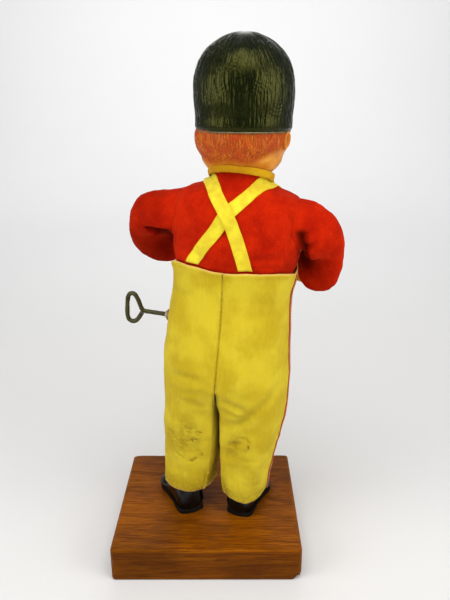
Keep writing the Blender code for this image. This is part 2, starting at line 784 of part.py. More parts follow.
def make_arm(side, sign, pivot):
    """A bent tin arm that ends in a closed hand with the stick pushed through it, drawn striking the drum."""
    shoulder = Vector((SHOULDER_X + 1.1 * MM, 0, SHOULDER_Z))
    anchors = [
        (shoulder, 4.0),
        (shoulder + Vector((1.6 * MM, 0, 0)), 4.4),
        (shoulder + Vector((4.4 * MM, 0, -1.8 * MM)), 4.6),
        (shoulder + Vector((8.6 * MM, -0.2 * MM, -9 * MM)), 4.6),
        (ELBOW + Vector((-0.6 * MM, 0, 2.8 * MM)), 4.6),
        (ELBOW + Vector((-1.2 * MM, -2.4 * MM, -1.2 * MM)), 4.5),
        (ELBOW.lerp(HAND, 0.35) + Vector((1.4 * MM, 0, 0.8 * MM)), 4.0),
        (ELBOW.lerp(HAND, 0.72), 3.2),
        (ELBOW.lerp(HAND, 0.84), 3.1),
        (ELBOW.lerp(HAND, 0.92), 4.9),
        (ELBOW.lerp(HAND, 1.02), 5.4),
        (ELBOW.lerp(HAND, 1.12), 4.6),
        (ELBOW.lerp(HAND, 1.17), 2.4),
    ]
    origin = Vector((sign * SHOULDER_X, 0, SHOULDER_Z))
    points = [at_side(point, sign) - origin for point, _ in anchors]
    shape = wire_curve(f"arm_{side}", points, 1 * MM, 2, [radius for _, radius in anchors])
    arm = place(as_mesh(shape), "painted_arm", pivot)

    tip, grip = at_side(STICK_TIP, sign), at_side(HAND, sign)
    along = (tip - grip).normalized()
    butt = grip - along * 12 * MM
    bore = rod(f"{side}_grip_bore", STICK_R + GAP, 60 * MM, 10)
    place(bore, None, pivot, grip - along * 30 * MM - origin, along.to_track_quat("Z", "Y").to_euler())
    cut(arm, bore)
    length = (tip - butt).length
    bead = 2.1 * MM
    profile = [(0, length + bead), (0.75 * bead, length + 0.7 * bead), (bead, length)]
    profile += [(0.75 * bead, length - 0.7 * bead), (0.6 * STICK_R, length - 1.2 * bead)]
    profile += [(STICK_R, 0.55 * length), (STICK_R, 0.1 * MM), (0, 0)]
    stick = turned(f"drumstick_{side}", profile, 10)
    place(stick, "stick_wood", pivot, butt - origin, along.to_track_quat("Z", "Y").to_euler())


# The sleeves' rings fan out round this line at the front of the armhole.
SLEEVE_FOLD = Vector((31.2 * MM, -14 * MM, 0))
# Each ring of a sleeve: fan angle, half width, height of the centre, half height.
SLEEVES = {
    "left": [
        (22, 12.8, 162.0, 14.4),
        (44, 12.4, 160.0, 16.0),
        (64, 11.4, 157.0, 16.4),
        (84, 9.4, 154.0, 14.4),
    ],
    "right": [
        (22, 12.8, 160.5, 16.6),
        (44, 12.2, 156.0, 18.6),
        (64, 11.2, 151.6, 19.0),
        (84, 9.2, 147.0, 15.6),
    ],
}
# The sleeve's mouth: centre, fan angle, half width, half height and how far its top leans forward.
SLEEVE_MOUTHS = {
    "left": ((39.4, -19.5, 148.8), 110, 7.6, 9.4, 0.1),
    "right": ((36.6, -18.0, 141.6), 114, 7.6, 9.2, 0.4),
}
ARMHOLE_X, ARMHOLE_R = 32.9, 12.2


def sleeve_ring(sign, centre, fan, wide, tall, lean=0.0, sides=16, power=2.5):
    """An upright ring whose broad way points out at the fan angle, in millimetres."""
    out = Vector((sin(fan), cos(fan), 0))
    rise = Vector((cos(fan) * lean, -sin(fan) * lean, 1)).normalized()
    ring = []
    for k in range(sides):
        c, s = cos(tau * k / sides), sin(tau * k / sides)
        reach = (abs(c) ** power + abs(s) ** power) ** (-1 / power)
        point = centre + out * wide * reach * c + rise * tall * reach * s
        ring.append(at_side(point * MM, sign))
    return ring


def sleeve_rings(side, sign):
    shoulder = SHOULDER_Z / MM
    armhole = sleeve_ring(sign, Vector((ARMHOLE_X, 0, shoulder)), 0, ARMHOLE_R, ARMHOLE_R, power=2)
    for point in armhole:
        point.x -= sign * 0.008 * point.y**2 / MM
    rings = [armhole]
    fold = SLEEVE_FOLD / MM
    for degrees, wide, z, tall in SLEEVES[side]:
        fan = radians(degrees)
        clear = 0.8 if degrees < 80 else -0.6
        centre = fold + Vector((sin(fan), cos(fan), 0)) * (wide + clear)
        centre.z = z
        rings.append(sleeve_ring(sign, centre, fan, wide, tall))
    centre, degrees, wide, tall, lean = SLEEVE_MOUTHS[side]
    rings.append(sleeve_ring(sign, Vector(centre), radians(degrees), wide, tall, lean))
    return rings


def make_sleeve(side, sign, figure):
    """The felt sleeve, loose round the arm, and the cotton cuff at its mouth, both as they hang at rest."""
    origin = Vector((sign * SHOULDER_X, 0, SHOULDER_Z))
    rings = [[point - origin for point in ring] for ring in sleeve_rings(side, sign)]
    sleeve = loft(f"sleeve_{side}", rings, (False, False))
    place(sleeve, "red_felt", figure, origin)
    modifier(sleeve, "SOLIDIFY", thickness=FELT, offset=-1)

    centre, degrees, wide, tall, lean = SLEEVE_MOUTHS[side]
    fan = radians(degrees)
    ahead = Vector((cos(fan), -sin(fan), -lean)).normalized()
    cuff_rings = []
    for forward, share in ((1.8, 0.94), (5.0, 0.96), (9.0, 1.0)):
        spot = Vector(centre) + ahead * forward
        ring = sleeve_ring(sign, spot, fan, wide * share, tall * share, lean)
        cuff_rings.append([point - origin for point in ring])
    cuff = loft(f"cuff_{side}", cuff_rings, (False, False))
    place(cuff, "yellow_cotton", figure, origin)
    modifier(cuff, "SOLIDIFY", thickness=COTTON, offset=-1)


def make_arms(figure):
    """The right hand is down on the drum at rest, and the left hand is up."""
    for side, sign, raised in (("left", 1, -SWING), ("right", -1, 0.0)):
        pivot = empty(f"{side}_arm_pivot", figure, (sign * SHOULDER_X, 0, SHOULDER_Z), (raised, 0, 0))
        make_arm_shaft(side, sign, pivot)
        make_arm(side, sign, pivot)
        make_sleeve(side, sign, figure)


# --- clothes ------------------------------------------------------------------------------------------
# Outside of the jacket: height, half width, half depth
JACKET = [
    (129, 28.9, 21.9),
    (137, 29.2, 22.2),
    (142, 30.0, 22.8),
    (146, 31.4, 24.0),
    (160, 32.0, 24.6),
    (170, 32.0, 24.2),
    (175.6, 31.0, 22.4),
    (179.2, 27.4, 19.6),
    (181.8, 20.4, 16.8),
    (183.8, 15.4, 14.4),
    (186.6, 14.8, 13.8),
]
# Outside of the trousers down to the crotch: height, half width, half depth
TROUSER_TOP = [
    (143, 32.0, 24.4),
    (137, 31.2, 23.8),
    (131, 30.4, 23.6),
    (118, 31.4, 24.6),
    (104, 32.6, 26.0),
    (90, 33.4, 26.6),
    (80, 33.4, 25.0),
]
# Outside of a trouser leg: height, centre x, half width, centre y, half depth, rise towards the front
TROUSER_LEG = [
    (66, 17.0, 15.8, 0, 20.5, 0),
    (46, 17.2, 15.4, 0.5, 17.0, 0),
    (28, 17.2, 14.8, 1.5, 14.4, 0),
    (19, 17.0, 13.9, 2.6, 13.6, 0.5),
    (12.5, 16.9, 13.6, 2.8, 13.6, 1.2),
]
CROTCH_Z = 76 * MM


def make_jacket(figure, armhole):
    rings = [oval(a * MM, b * MM, z * MM) for z, a, b in JACKET]
    jacket = place(loft("jacket", rings, (False, False)), "red_felt", figure)
    modifier(jacket, "SOLIDIFY", thickness=FELT, offset=-1, use_even_offset=True)
    cut(jacket, armhole)


def trouser_half():
    """The left half of the trousers as an open skin: half rings to the hip, then a whole leg."""
    bm = bmesh.new()
    half, inner = 13, 3
    top = []
    for z, a, b in TROUSER_TOP:
        ring = oval(a * MM, b * MM, z * MM, half, sweep=pi)
        ring[0].x = ring[-1].x = 0
        top.append([bm.verts.new(point) for point in ring])
    front, back = top[-1][0].co, top[-1][-1].co
    crotch = []
    for k in range(1, inner + 1):
        spot = back.lerp(front, k / (inner + 1))
        crotch.append(bm.verts.new((0, spot.y, CROTCH_Z)))
    sides = half + inner
    legs = [[*top[-1], *crotch]]
    for z, x, a, y, b, rise in TROUSER_LEG:
        start = -pi / 2 - pi / 4
        ring = oval(a * MM, b * MM, z * MM, sides, (x * MM, y * MM), start, power=2.1)
        for point in ring:
            point.z -= rise * (point.y / b - y * MM / b)
        legs.append([bm.verts.new(point) for point in ring])
    for high, low in zip(top, top[1:]):
        for k in range(half - 1):
            bm.faces.new((low[k], low[k + 1], high[k + 1], high[k]))
    for high, low in zip(legs, legs[1:]):
        for k in range(sides):
            after = (k + 1) % sides
            bm.faces.new((low[k], low[after], high[after], high[k]))
    return mesh_object("trousers", bm)


def make_trousers(figure, cutters):
    trousers = place(trouser_half(), "yellow_cotton", figure)
    modifier(trousers, "MIRROR", use_axis=(True, False, False), merge_threshold=0.00005)
    modifier(trousers, "SOLIDIFY", thickness=COTTON, offset=-1)
    cut(trousers, *cutters)
    make_side_stripe("left", 1, -5.8, figure)
    make_side_stripe("right", -1, 1.5, figure)


def make_side_stripe(side, sign, forward, figure):
    """The braid down the outside of a trouser leg. forward is how far it lies from the middle, in mm."""
    sections = [(z, 0, a, 0, b) for z, a, b in TROUSER_TOP[1:]]
    sections += [section[:5] for section in TROUSER_LEG]
    path, normals = [], []
    for z, x, a, y, b in sections:
        angle = asin((forward - y) / b)
        centre = (x * MM, y * MM)
        point = oval((a + 0.4) * MM, (b + 0.4) * MM, z * MM, 1, centre, angle)[0]
        path.append(at_side(point, sign))
        normals.append(Vector((sign * cos(angle), sin(angle), 0)))
    path[-1].z += 1.5 * MM
    tape = ribbon(f"side_stripe_{side}", path, normals, 2.6 * MM, 0.6 * MM)
    place(tape, "orange_braid", figure)


def jacket_point(angle, z, clear):
    """A point that far outside the jacket, at that angle from its left side, and the way out there."""
    z = z / MM
    for (z0, a0, b0), (z1, a1, b1) in zip(JACKET, JACKET[1:]):
        if z <= z1:
            break
    share = (z - z0) / (z1 - z0)
    a, b = a0 + (a1 - a0) * share, b0 + (b1 - b0) * share
    ring = oval((a + clear / MM) * MM, (b + clear / MM) * MM, z * MM, 1, start=angle)
    rise = -((a1 - a0) + (b1 - b0)) / 2 / (z1 - z0)
    return ring[0], Vector((cos(angle) / a, sin(angle) / b, rise / 25)).normalized()


def make_straps(figure):
    """Two tapes that cross on the back, run over the shoulders and go down the front to the trousers."""
    # (angle from the left side, height): up the back, over one shoulder and down the front
    shoulder = [(70, 178.6), (48, 180.8), (22, 181.2), (-4, 181.2), (-28, 180.6), (-46, 177.6)]
    front = [(-57, 170), (-61, 160), (-62, 146)]
    over = [(109, 145), (103, 154), (97, 163), (90, 171.2), *shoulder, *front]
    under = [(125, 147), (115, 154), (103, 163), (90, 171.2), *shoulder, *front]
    for name, sign, lift, route in (("over", 1, 1.9, over), ("under", -1, 0.7, under)):
        anchors = [Vector((degrees, height, 0)) for degrees, height in route]
        path, normals = [], []
        for spot in smooth_path(anchors, 3):
            crossing = max(0, 1 - abs(spot.x - 90) / 26)
            slope = 1.3 if spot.y > 175 else 0
            clear = (0.7 + slope + (lift - 0.7) * min(1, 2 * crossing)) * MM
            point, out = jacket_point(radians(spot.x), spot.y * MM, clear)
            path.append(at_side(point, sign))
            normals.append(at_side(out, sign))
        tape = ribbon(f"strap_{name}", path, normals, STRAP_WIDTH, 0.6 * MM)
        place(tape, "yellow_tape", figure)


def make_collar(figure):
    inner, outer = (15.6, 14.6), (17.0, 16.0)
    low, high = 185.2 * MM, 191 * MM
    rings = []
    for (a, b), z in ((outer, low), (outer, high), (inner, high), (inner, low)):
        rings.append(oval(a * MM, b * MM, z, 24, power=2.1))
    collar = loft("collar", rings, (False, False))
    close_hoop(collar)
    place(collar, "yellow_cotton", figure)


def close_hoop(obj):
    """Joins a loft's last ring to its first, which makes a hoop."""
    bm = bmesh.new()
    bm.from_mesh(obj.data)
    bmesh.ops.bridge_loops(bm, edges=[edge for edge in bm.edges if edge.is_boundary])
    bmesh.ops.recalc_face_normals(bm, faces=bm.faces)
    bm.to_mesh(obj.data)
    bm.free()
    smooth(obj.data)


# --- the head -----------------------------------------------------------------------------------------
HEAD = [
    (188.2, 13.2, 13.0, 0.0),
    (191.8, 14.2, 13.8, -0.2),
    (193.6, 17.2, 18.2, -1.2),
    (196.2, 19.2, 20.8, -1.6),
    (200.0, 21.2, 22.2, -1.4),
    (205.0, 22.0, 22.4, -0.8),
    (206.9, 21.6, 22.0, -0.6),
    (207.6, 20.2, 20.4, -0.4),
    (216.0, 19.8, 20.0, 0.0),
    (226.0, 17.0, 17.0, 0.0),
    (234.0, 9.0, 9.0, 0.0),
]
HAT = [
    (207.9, 22.3, 22.8),
    (214.0, 22.9, 23.4),
    (222.0, 23.5, 23.9),
    (230.0, 23.4, 23.6),
    (235.5, 22.2, 22.4),
    (240.0, 19.8, 20.0),
    (244.5, 16.0, 16.2),
    (248.4, 10.4, 10.6),
    (250.4, 4.0, 4.0),
]


def make_head(figure):
    pivot = empty("head_pivot", figure, (0, 0, NECK_Z), (0, HEAD_UPRIGHT, HEAD_TURN))
    rings = [oval(a * MM, b * MM, z * MM - NECK_Z, 20, (0, y * MM), power=2.1) for z, a, b, y in HEAD]
    head = place(loft("head", rings, (False, True)), "moulded_head", pivot)
    modifier(head, "SOLIDIFY", thickness=1.2 * MM, offset=-1, use_even_offset=True)
    rings = [oval(a * MM, b * MM, z * MM - NECK_Z, 20, power=2.1) for z, a, b in HAT]
    hat = place(loft("hat", rings, (False, True)), "bearskin", pivot)
    modifier(hat, "SOLIDIFY", thickness=1.4 * MM, offset=-1, use_even_offset=True)


# --- the drum -----------------------------------------------------------------------------------------
def ring_profile(inner, outer, low, high):
    return [(outer, high), (outer, low), (inner, low), (inner, high), (outer, high)]


def make_drum(figure):
    holder = empty("drum_frame", figure, DRUM_CENTRE, (DRUM_TILT, 0, 0))
    low, skin = -DRUM_HEIGHT, 0.7 * MM
    wall = DRUM_R - TIN
    inset = skin + GAP
    shell = turned("drum_shell", ring_profile(wall, DRUM_R, low + inset, -inset), 28)
    place(shell, "drum_paint", holder)
    for name, base in (("drum_skin_top", -skin), ("drum_skin_bottom", low)):
        disc = turned(name, [(0, base + skin), (DRUM_R, base + skin), (DRUM_R, base), (0, base)], 28)
        place(disc, "drum_skin", holder)
    hoop_in, hoop_out, tall = DRUM_R + GAP, DRUM_R + 1.7 * MM, 4 * MM
    for name, base in (("drum_hoop_top", -tall + 1 * MM), ("drum_hoop_bottom", low - 1 * MM)):
        hoop = turned(name, ring_profile(hoop_in, hoop_out, base, base + tall), 28)
        place(hoop, "hoop_paint", holder)


def make_drum_bracket(figure, slot_z):
    """A bent strip from the body, through a slit in the trousers, to the drum's shell."""
    wide, thick = 8 * MM, 1.0 * MM
    back, front = -BODY_B - GAP, DRUM_CENTRE.y + DRUM_R + 1.4 * MM
    flange = 6 * MM
    side = [
        (back, slot_z - flange),
        (back, slot_z + thick),
        (front + thick, slot_z + thick),
        (front + thick, slot_z + flange),
        (front, slot_z + flange),
        (front, slot_z),
        (back - thick, slot_z),
        (back - thick, slot_z - flange),
    ]
    strip = flat_outline("drum_bracket", [side], wide)
    place(strip, "tinplate", figure, (0, 0, 0), ALONG_X)


# --- the whole toy ------------------------------------------------------------------------------------
def make_key_bush(figure):
    """The eyelet that lines the key's hole in the body and the trousers."""
    bush = turned("key_bush", ring_profile(ARBOR_R + GAP, 3.3 * MM, 0, 8.6 * MM), 16)
    place(bush, "brass", figure, on_axis(WIND_AXIS, 25.6 * MM), ALONG_X)


def make_drummer():
    turn = Euler((0, STANCE_LEAN, 0)).to_matrix() @ Euler((0, 0, STANCE_TURN)).to_matrix()
    figure = empty("drummer", None, STANCE, turn.to_euler())
    slot_z = 104.5 * MM

    shaft_holes = rod("arm_shaft_holes", ARM_SHAFT_R + 2 * GAP, 2.2 * SHOULDER_X, 12)
    place(shaft_holes, None, figure, (-1.1 * SHOULDER_X, 0, SHOULDER_Z), ALONG_X)
    key_hole = rod("key_hole", 3.3 * MM + GAP, 20 * MM, 16)
    place(key_hole, None, figure, on_axis(WIND_AXIS, 20 * MM), ALONG_X)
    armholes = rod("armholes", 8.5 * MM, 2.2 * SHOULDER_X, 16)
    place(armholes, None, figure, (-1.1 * SHOULDER_X, 0, SHOULDER_Z), ALONG_X)
    bracket_slit = block("bracket_slit", (10 * MM, 12 * MM, 3 * MM))
    place(bracket_slit, None, figure, (0, -BODY_B - 5 * MM, slot_z + 0.5 * MM))

    make_legs(figure)
    make_hip_plate(figure)
    make_body(figure, [shaft_holes, key_hole])
    make_neck_post(figure)
    make_motor_frame(figure)
    make_train(figure)
    make_connecting_rods(figure)
    make_key_bush(figure)
    make_arms(figure)
    make_jacket(figure, armholes)
    make_trousers(figure, [key_hole, bracket_slit])
    make_straps(figure)
    make_collar(figure)
    make_head(figure)
    make_drum(figure)
    make_drum_bracket(figure, slot_z)


clear_scene()
MODEL = collection("wind_up_drummer")
CUTTERS = collection("cutters")
make_base()
make_shoes()
make_drummer()
bpy.context.view_layer.update()
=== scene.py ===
"""Looks for the clockwork drummer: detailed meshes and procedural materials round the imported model.

Pieces of the drummer are built in the drummer's own frame in millimetres: z = 0 at the block's top,
+X to the drummer's left hand, -Y to the front. The head's pieces use the head's frame, from the neck.
"""

import json
from math import cos, pi, radians, sin, tau

import bmesh
import bpy
import numpy as np
from mathutils import Euler, Matrix, Vector, noise
from mathutils.bvhtree import BVHTree


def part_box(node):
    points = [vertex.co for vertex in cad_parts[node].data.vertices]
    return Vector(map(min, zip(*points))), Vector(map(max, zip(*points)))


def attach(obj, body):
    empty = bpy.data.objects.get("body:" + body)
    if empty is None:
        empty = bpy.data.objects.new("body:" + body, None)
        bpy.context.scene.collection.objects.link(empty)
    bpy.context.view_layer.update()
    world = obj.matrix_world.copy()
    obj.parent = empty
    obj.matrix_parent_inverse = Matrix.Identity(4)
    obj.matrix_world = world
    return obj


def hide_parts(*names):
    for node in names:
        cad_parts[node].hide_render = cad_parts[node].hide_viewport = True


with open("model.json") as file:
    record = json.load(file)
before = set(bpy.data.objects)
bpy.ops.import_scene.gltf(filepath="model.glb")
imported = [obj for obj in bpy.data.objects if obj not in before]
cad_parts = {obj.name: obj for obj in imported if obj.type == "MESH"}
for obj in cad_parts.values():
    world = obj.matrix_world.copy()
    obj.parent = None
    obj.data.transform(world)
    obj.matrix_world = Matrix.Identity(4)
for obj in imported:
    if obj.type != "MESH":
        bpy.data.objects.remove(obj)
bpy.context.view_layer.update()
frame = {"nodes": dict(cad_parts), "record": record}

MM = 0.001

# The block's size, and where the drummer stands on it
BASE = (100.0, 89.0, 19.0)
STANCE = Matrix.Translation((-6 * MM, 3 * MM, BASE[2] * MM))
LEAN = (Euler((0, radians(-4), 0)).to_matrix() @ Euler((0, 0, radians(-14))).to_matrix()).to_4x4()
FIGURE = STANCE @ LEAN
NECK_Z = 186.0
HEAD = FIGURE @ Matrix.Translation((0, 0, NECK_Z * MM)) @ Euler(
    (0, radians(3.6), radians(-6))
).to_matrix().to_4x4()
# Height of the arm shafts, and how far an arm swings
SHOULDER_Z, SWING = 166.0, radians(20)


# --- numbers ------------------------------------------------------------------------------------------
def step(low, high, x):
    """A smooth rise from 0 at low to 1 at high."""
    t = np.clip((np.asarray(x, float) - low) / (high - low), 0, 1)
    return t * t * (3 - 2 * t)


def bell(x, width):
    """A smooth bump of height 1 round x = 0."""
    return np.exp(-((np.asarray(x, float) / width) ** 2))


def curve(table, x):
    """Each column of table as a smooth function of its first column."""
    table = np.array(table, float)
    table = table[np.argsort(table[:, 0])]
    keys, values = table[:, 0], table[:, 1:]
    x = np.clip(np.asarray(x, float), keys[0], keys[-1])
    slopes = np.diff(values, axis=0) / np.diff(keys)[:, None]
    tangents = np.vstack([slopes[:1], (slopes[1:] + slopes[:-1]) / 2, slopes[-1:]])
    turning = np.vstack([np.zeros_like(slopes[:1]), slopes[1:] * slopes[:-1] <= 0, np.zeros_like(slopes[:1])])
    tangents = np.where(turning > 0, 0, tangents)
    k = np.clip(np.searchsorted(keys, x, side="right") - 1, 0, len(keys) - 2)
    width = keys[k + 1] - keys[k]
    t = ((x - keys[k]) / width)[..., None]
    width = width[..., None]
    return (
        (1 + 2 * t) * (1 - t) ** 2 * values[k]
        + t * (1 - t) ** 2 * width * tangents[k]
        + t * t * (3 - 2 * t) * values[k + 1]
        + t * t * (t - 1) * width * tangents[k + 1]
    )


def spline(points, per_span):
    """Points on a Catmull-Rom curve through points, along the first axis."""
    p = np.array(points, float)
    p = np.concatenate([[2 * p[0] - p[1]], p, [2 * p[-1] - p[-2]]])
    out = []
    for a, b, c, d in zip(p, p[1:], p[2:], p[3:]):
        for k in range(per_span):
            t = k / per_span
            out.append(
                0.5 * (
                    2 * b + (c - a) * t + (2 * a - 5 * b + 4 * c - d) * t**2 + (3 * b - a - 3 * c + d) * t**3
                )
            )
    return np.array([*out, p[-2]])


def rough(P, scale, octaves=3, seed=0.0):
    """Soft noise from -1 to 1 at each point. scale is the size of its waves, one number or three, in mm."""
    s = np.ones(3) * scale
    flat = (P.reshape(-1, 3) + seed * 17.3) / s
    made = [noise.fractal(Vector(q), 0.9, 2.0, octaves) for q in flat]
    return np.array(made).reshape(P.shape[:-1])


def oval(a, b, angle, power=2.3):
    """Points on a superellipse with half axes a and b."""
    c, s = np.cos(angle), np.sin(angle)
    reach = (np.abs(c) ** power + np.abs(s) ** power) ** (-1 / power)
    return a * reach * c, b * reach * s


def grid_normals(P, closed):
    """Unit normals of a grid of points. closed says that its rows are rings."""
    if closed:
        du = np.roll(P, -1, 1) - np.roll(P, 1, 1)
    else:
        du = np.gradient(P, axis=1)
    dv = np.gradient(P, axis=0)
    N = np.cross(du, dv)
    size = np.linalg.norm(N, axis=2, keepdims=True)
    return N / np.maximum(size, 1e-9)


def line_distance(P, line):
    """How far each point is from a polyline, and its share of the way along."""
    line = np.array(line, float)
    best, along = np.full(P.shape[:-1], 1e9), np.zeros(P.shape[:-1])
    for k, (a, b) in enumerate(zip(line, line[1:])):
        d = b - a
        t = np.clip(((P - a) @ d) / (d @ d), 0, 1)
        gap = np.linalg.norm(P - a - t[..., None] * d, axis=-1)
        nearer = gap < best
        best, along = np.where(nearer, gap, best), np.where(nearer, (k + t) / (len(line) - 1), along)
    return best, along


# --- meshes -------------------------------------------------------------------------------------------
def finish_mesh(name, verts, faces, look, matrix=FIGURE, uvs=None, angle=40, marks=None):
    mesh = bpy.data.meshes.new(name)
    mesh.from_pydata((np.asarray(verts) * MM).tolist(), [], faces)
    if uvs is not None:
        layer = mesh.uv_layers.new(name="UVMap")
        layer.data.foreach_set("uv", np.array(uvs, np.float32).ravel())
    for mark, values in (marks or {}).items():
        mesh.attributes.new(mark, "FLOAT", "POINT").data.foreach_set(
            "value", np.asarray(values, np.float32).ravel(),
        )
    mesh.update()
    bm = bmesh.new()
    bm.from_mesh(mesh)
    bmesh.ops.remove_doubles(bm, verts=bm.verts, dist=0.002 * MM)
    bmesh.ops.recalc_face_normals(bm, faces=bm.faces)
    bm.to_mesh(mesh)
    bm.free()
    mesh.shade_smooth()
    mesh.set_sharp_from_angle(angle=radians(angle))
    made = bpy.data.objects.new(name, mesh)
    bpy.context.scene.collection.objects.link(made)
    made.matrix_world = matrix
    mesh.materials.append(look)
    return made


def grid_faces(rows, cols, closed, start=0, flip=False):
    faces, uvs = [], []
    for r in range(rows - 1):
        for c in range(cols if closed else cols - 1):
            n = (c + 1) % cols
            quad = [
                start + r * cols + c, start + r * cols + n, start + (r + 1) * cols + n,
                start + (r + 1) * cols + c,
            ]
            uv = [(c, r), (c + 1, r), (c + 1, r + 1), (c, r + 1)]
            if flip:
                quad.reverse()
                uv.reverse()
            faces.append(quad)
            uvs += uv
    return faces, uvs


def skin(name, P, look, closed=True, caps=(False, False), **more):
    """A surface over a grid of points, with its ends closed by a fan where caps says so."""
    rows, cols = P.shape[:2]
    faces, uvs = grid_faces(rows, cols, closed)
    verts = P.reshape(-1, 3)
    marks = {k: np.asarray(v).ravel() for k, v in (more.pop("marks", None) or {}).items()}
    for end, row in ((0, 0), (1, rows - 1)):
        if caps[end]:
            middle = len(verts)
            verts = np.vstack([verts, P[row].mean(0)])
            marks = {k: np.append(v, v[row * cols]) for k, v in marks.items()}
            for c in range(cols):
                n = (c + 1) % cols
                tri = [row * cols + c, row * cols + n, middle]
                faces.append(tri if end else tri[::-1])
                uvs += [(c, row)] * 3
    return finish_mesh(name, verts, faces, look, uvs=uvs, marks=marks, **more)


def cloth(name, P, thick, look, closed=True, uv_size=None, marks=None, **more):
    """A closed sheet of even thickness: P is its outside, and the inside lies thick below it."""
    rows, cols = P.shape[:2]
    N = grid_normals(P, closed)
    middle = P.reshape(-1, 3).mean(0)
    inward = -1.0 if np.sum(N * (P - middle)) > 0 else 1.0
    Q = P + N * inward * thick
    count = rows * cols
    faces, uvs = grid_faces(rows, cols, closed)
    more_faces, more_uvs = grid_faces(rows, cols, closed, count, True)
    faces, uvs = faces + more_faces, uvs + more_uvs
    span = cols if closed else cols - 1
    for row in (0, rows - 1):
        for c in range(span):
            n = (c + 1) % cols
            faces.append([row * cols + c, row * cols + n, count + row * cols + n, count + row * cols + c])
            uvs += [(c, row), (c + 1, row), (c + 1, row), (c, row)]
    if not closed:
        for c in (0, cols - 1):
            for r in range(rows - 1):
                faces.append(
                    [r * cols + c, (r + 1) * cols + c, count + (r + 1) * cols + c, count + r * cols + c]
                )
                uvs += [(c, r), (c, r + 1), (c, r + 1), (c, r)]
    if uv_size:
        uvs = np.array(uvs) * (np.array(uv_size) / (span, rows - 1))
    doubled = {k: np.tile(np.asarray(v).ravel(), 2) for k, v in (marks or {}).items()}
    return finish_mesh(
        name, np.vstack([P.reshape(-1, 3), Q.reshape(-1, 3)]), faces, look, uvs=uvs, marks=doubled, **more,
    )


def tube_grid(path, radius, sides=16):
    """Rings round a path. radius is one number or one for each point."""
    path = np.array(path, float)
    radius = np.ones(len(path)) * radius
    tangent = np.gradient(path, axis=0)
    tangent /= np.linalg.norm(tangent, axis=1, keepdims=True)
    side = np.cross(tangent[0], (0.3, 0.2, 1.0))
    rings = []
    for point, along, r in zip(path, tangent, radius):
        side = side - along * (side @ along)
        side /= np.linalg.norm(side)
        up = np.cross(along, side)
        angle = np.arange(sides) * tau / sides
        rings.append(point + r * (np.cos(angle)[:, None] * side + np.sin(angle)[:, None] * up))
    return np.array(rings)


def tube(name, path, radius, look, sides=16, **more):
    return skin(name, tube_grid(path, radius, sides), look, caps=(True, True), **more)


def turned_grid(profile, sides=96, per_span=1):
    """Rings round z from (radius, z) points."""
    p = np.array(profile, float) if per_span == 1 else spline(profile, per_span)
    angle = np.arange(sides) * tau / sides
    return np.stack(
        [p[:, :1] * np.cos(angle), p[:, :1] * np.sin(angle), np.repeat(p[:, 1:2], sides, 1)], axis=2
    )


def merged(name, pieces):
    """One object from several, all in the same frame."""
    bm = bmesh.new()
    for piece in pieces:
        bm.from_mesh(piece.data)
    mesh = pieces[0].data.copy()
    bm.to_mesh(mesh)
    bm.free()
    made = bpy.data.objects.new(name, mesh)
    bpy.context.scene.collection.objects.link(made)
    made.matrix_world = pieces[0].matrix_world.copy()
    for piece in pieces:
        bpy.data.objects.remove(piece)
    return made


def fused(name, pieces, voxel, rounds):
    """One smooth body from overlapping closed pieces."""
    made = merged(name, pieces)
    remesh = made.modifiers.new("Remesh", "REMESH")
    remesh.mode, remesh.voxel_size = "VOXEL", voxel * MM
    soften = made.modifiers.new("Smooth", "SMOOTH")
    soften.iterations, soften.factor = rounds, 0.5
    return applied(made)


def applied(obj):
    """The object with its modifiers made part of its mesh."""
    bpy.context.view_layer.update()
    mesh = bpy.data.meshes.new_from_object(obj.evaluated_get(bpy.context.evaluated_depsgraph_get()))
    looks = list(obj.data.materials)
    obj.modifiers.clear()
    obj.data = mesh
    if not mesh.materials:
        for look in looks:
            mesh.materials.append(look)
    return obj


def coords(obj):
    """The object's points in millimetres."""
    co = np.zeros(len(obj.data.vertices) * 3, np.float32)
    obj.data.vertices.foreach_get("co", co)
    return co.reshape(-1, 3) / MM


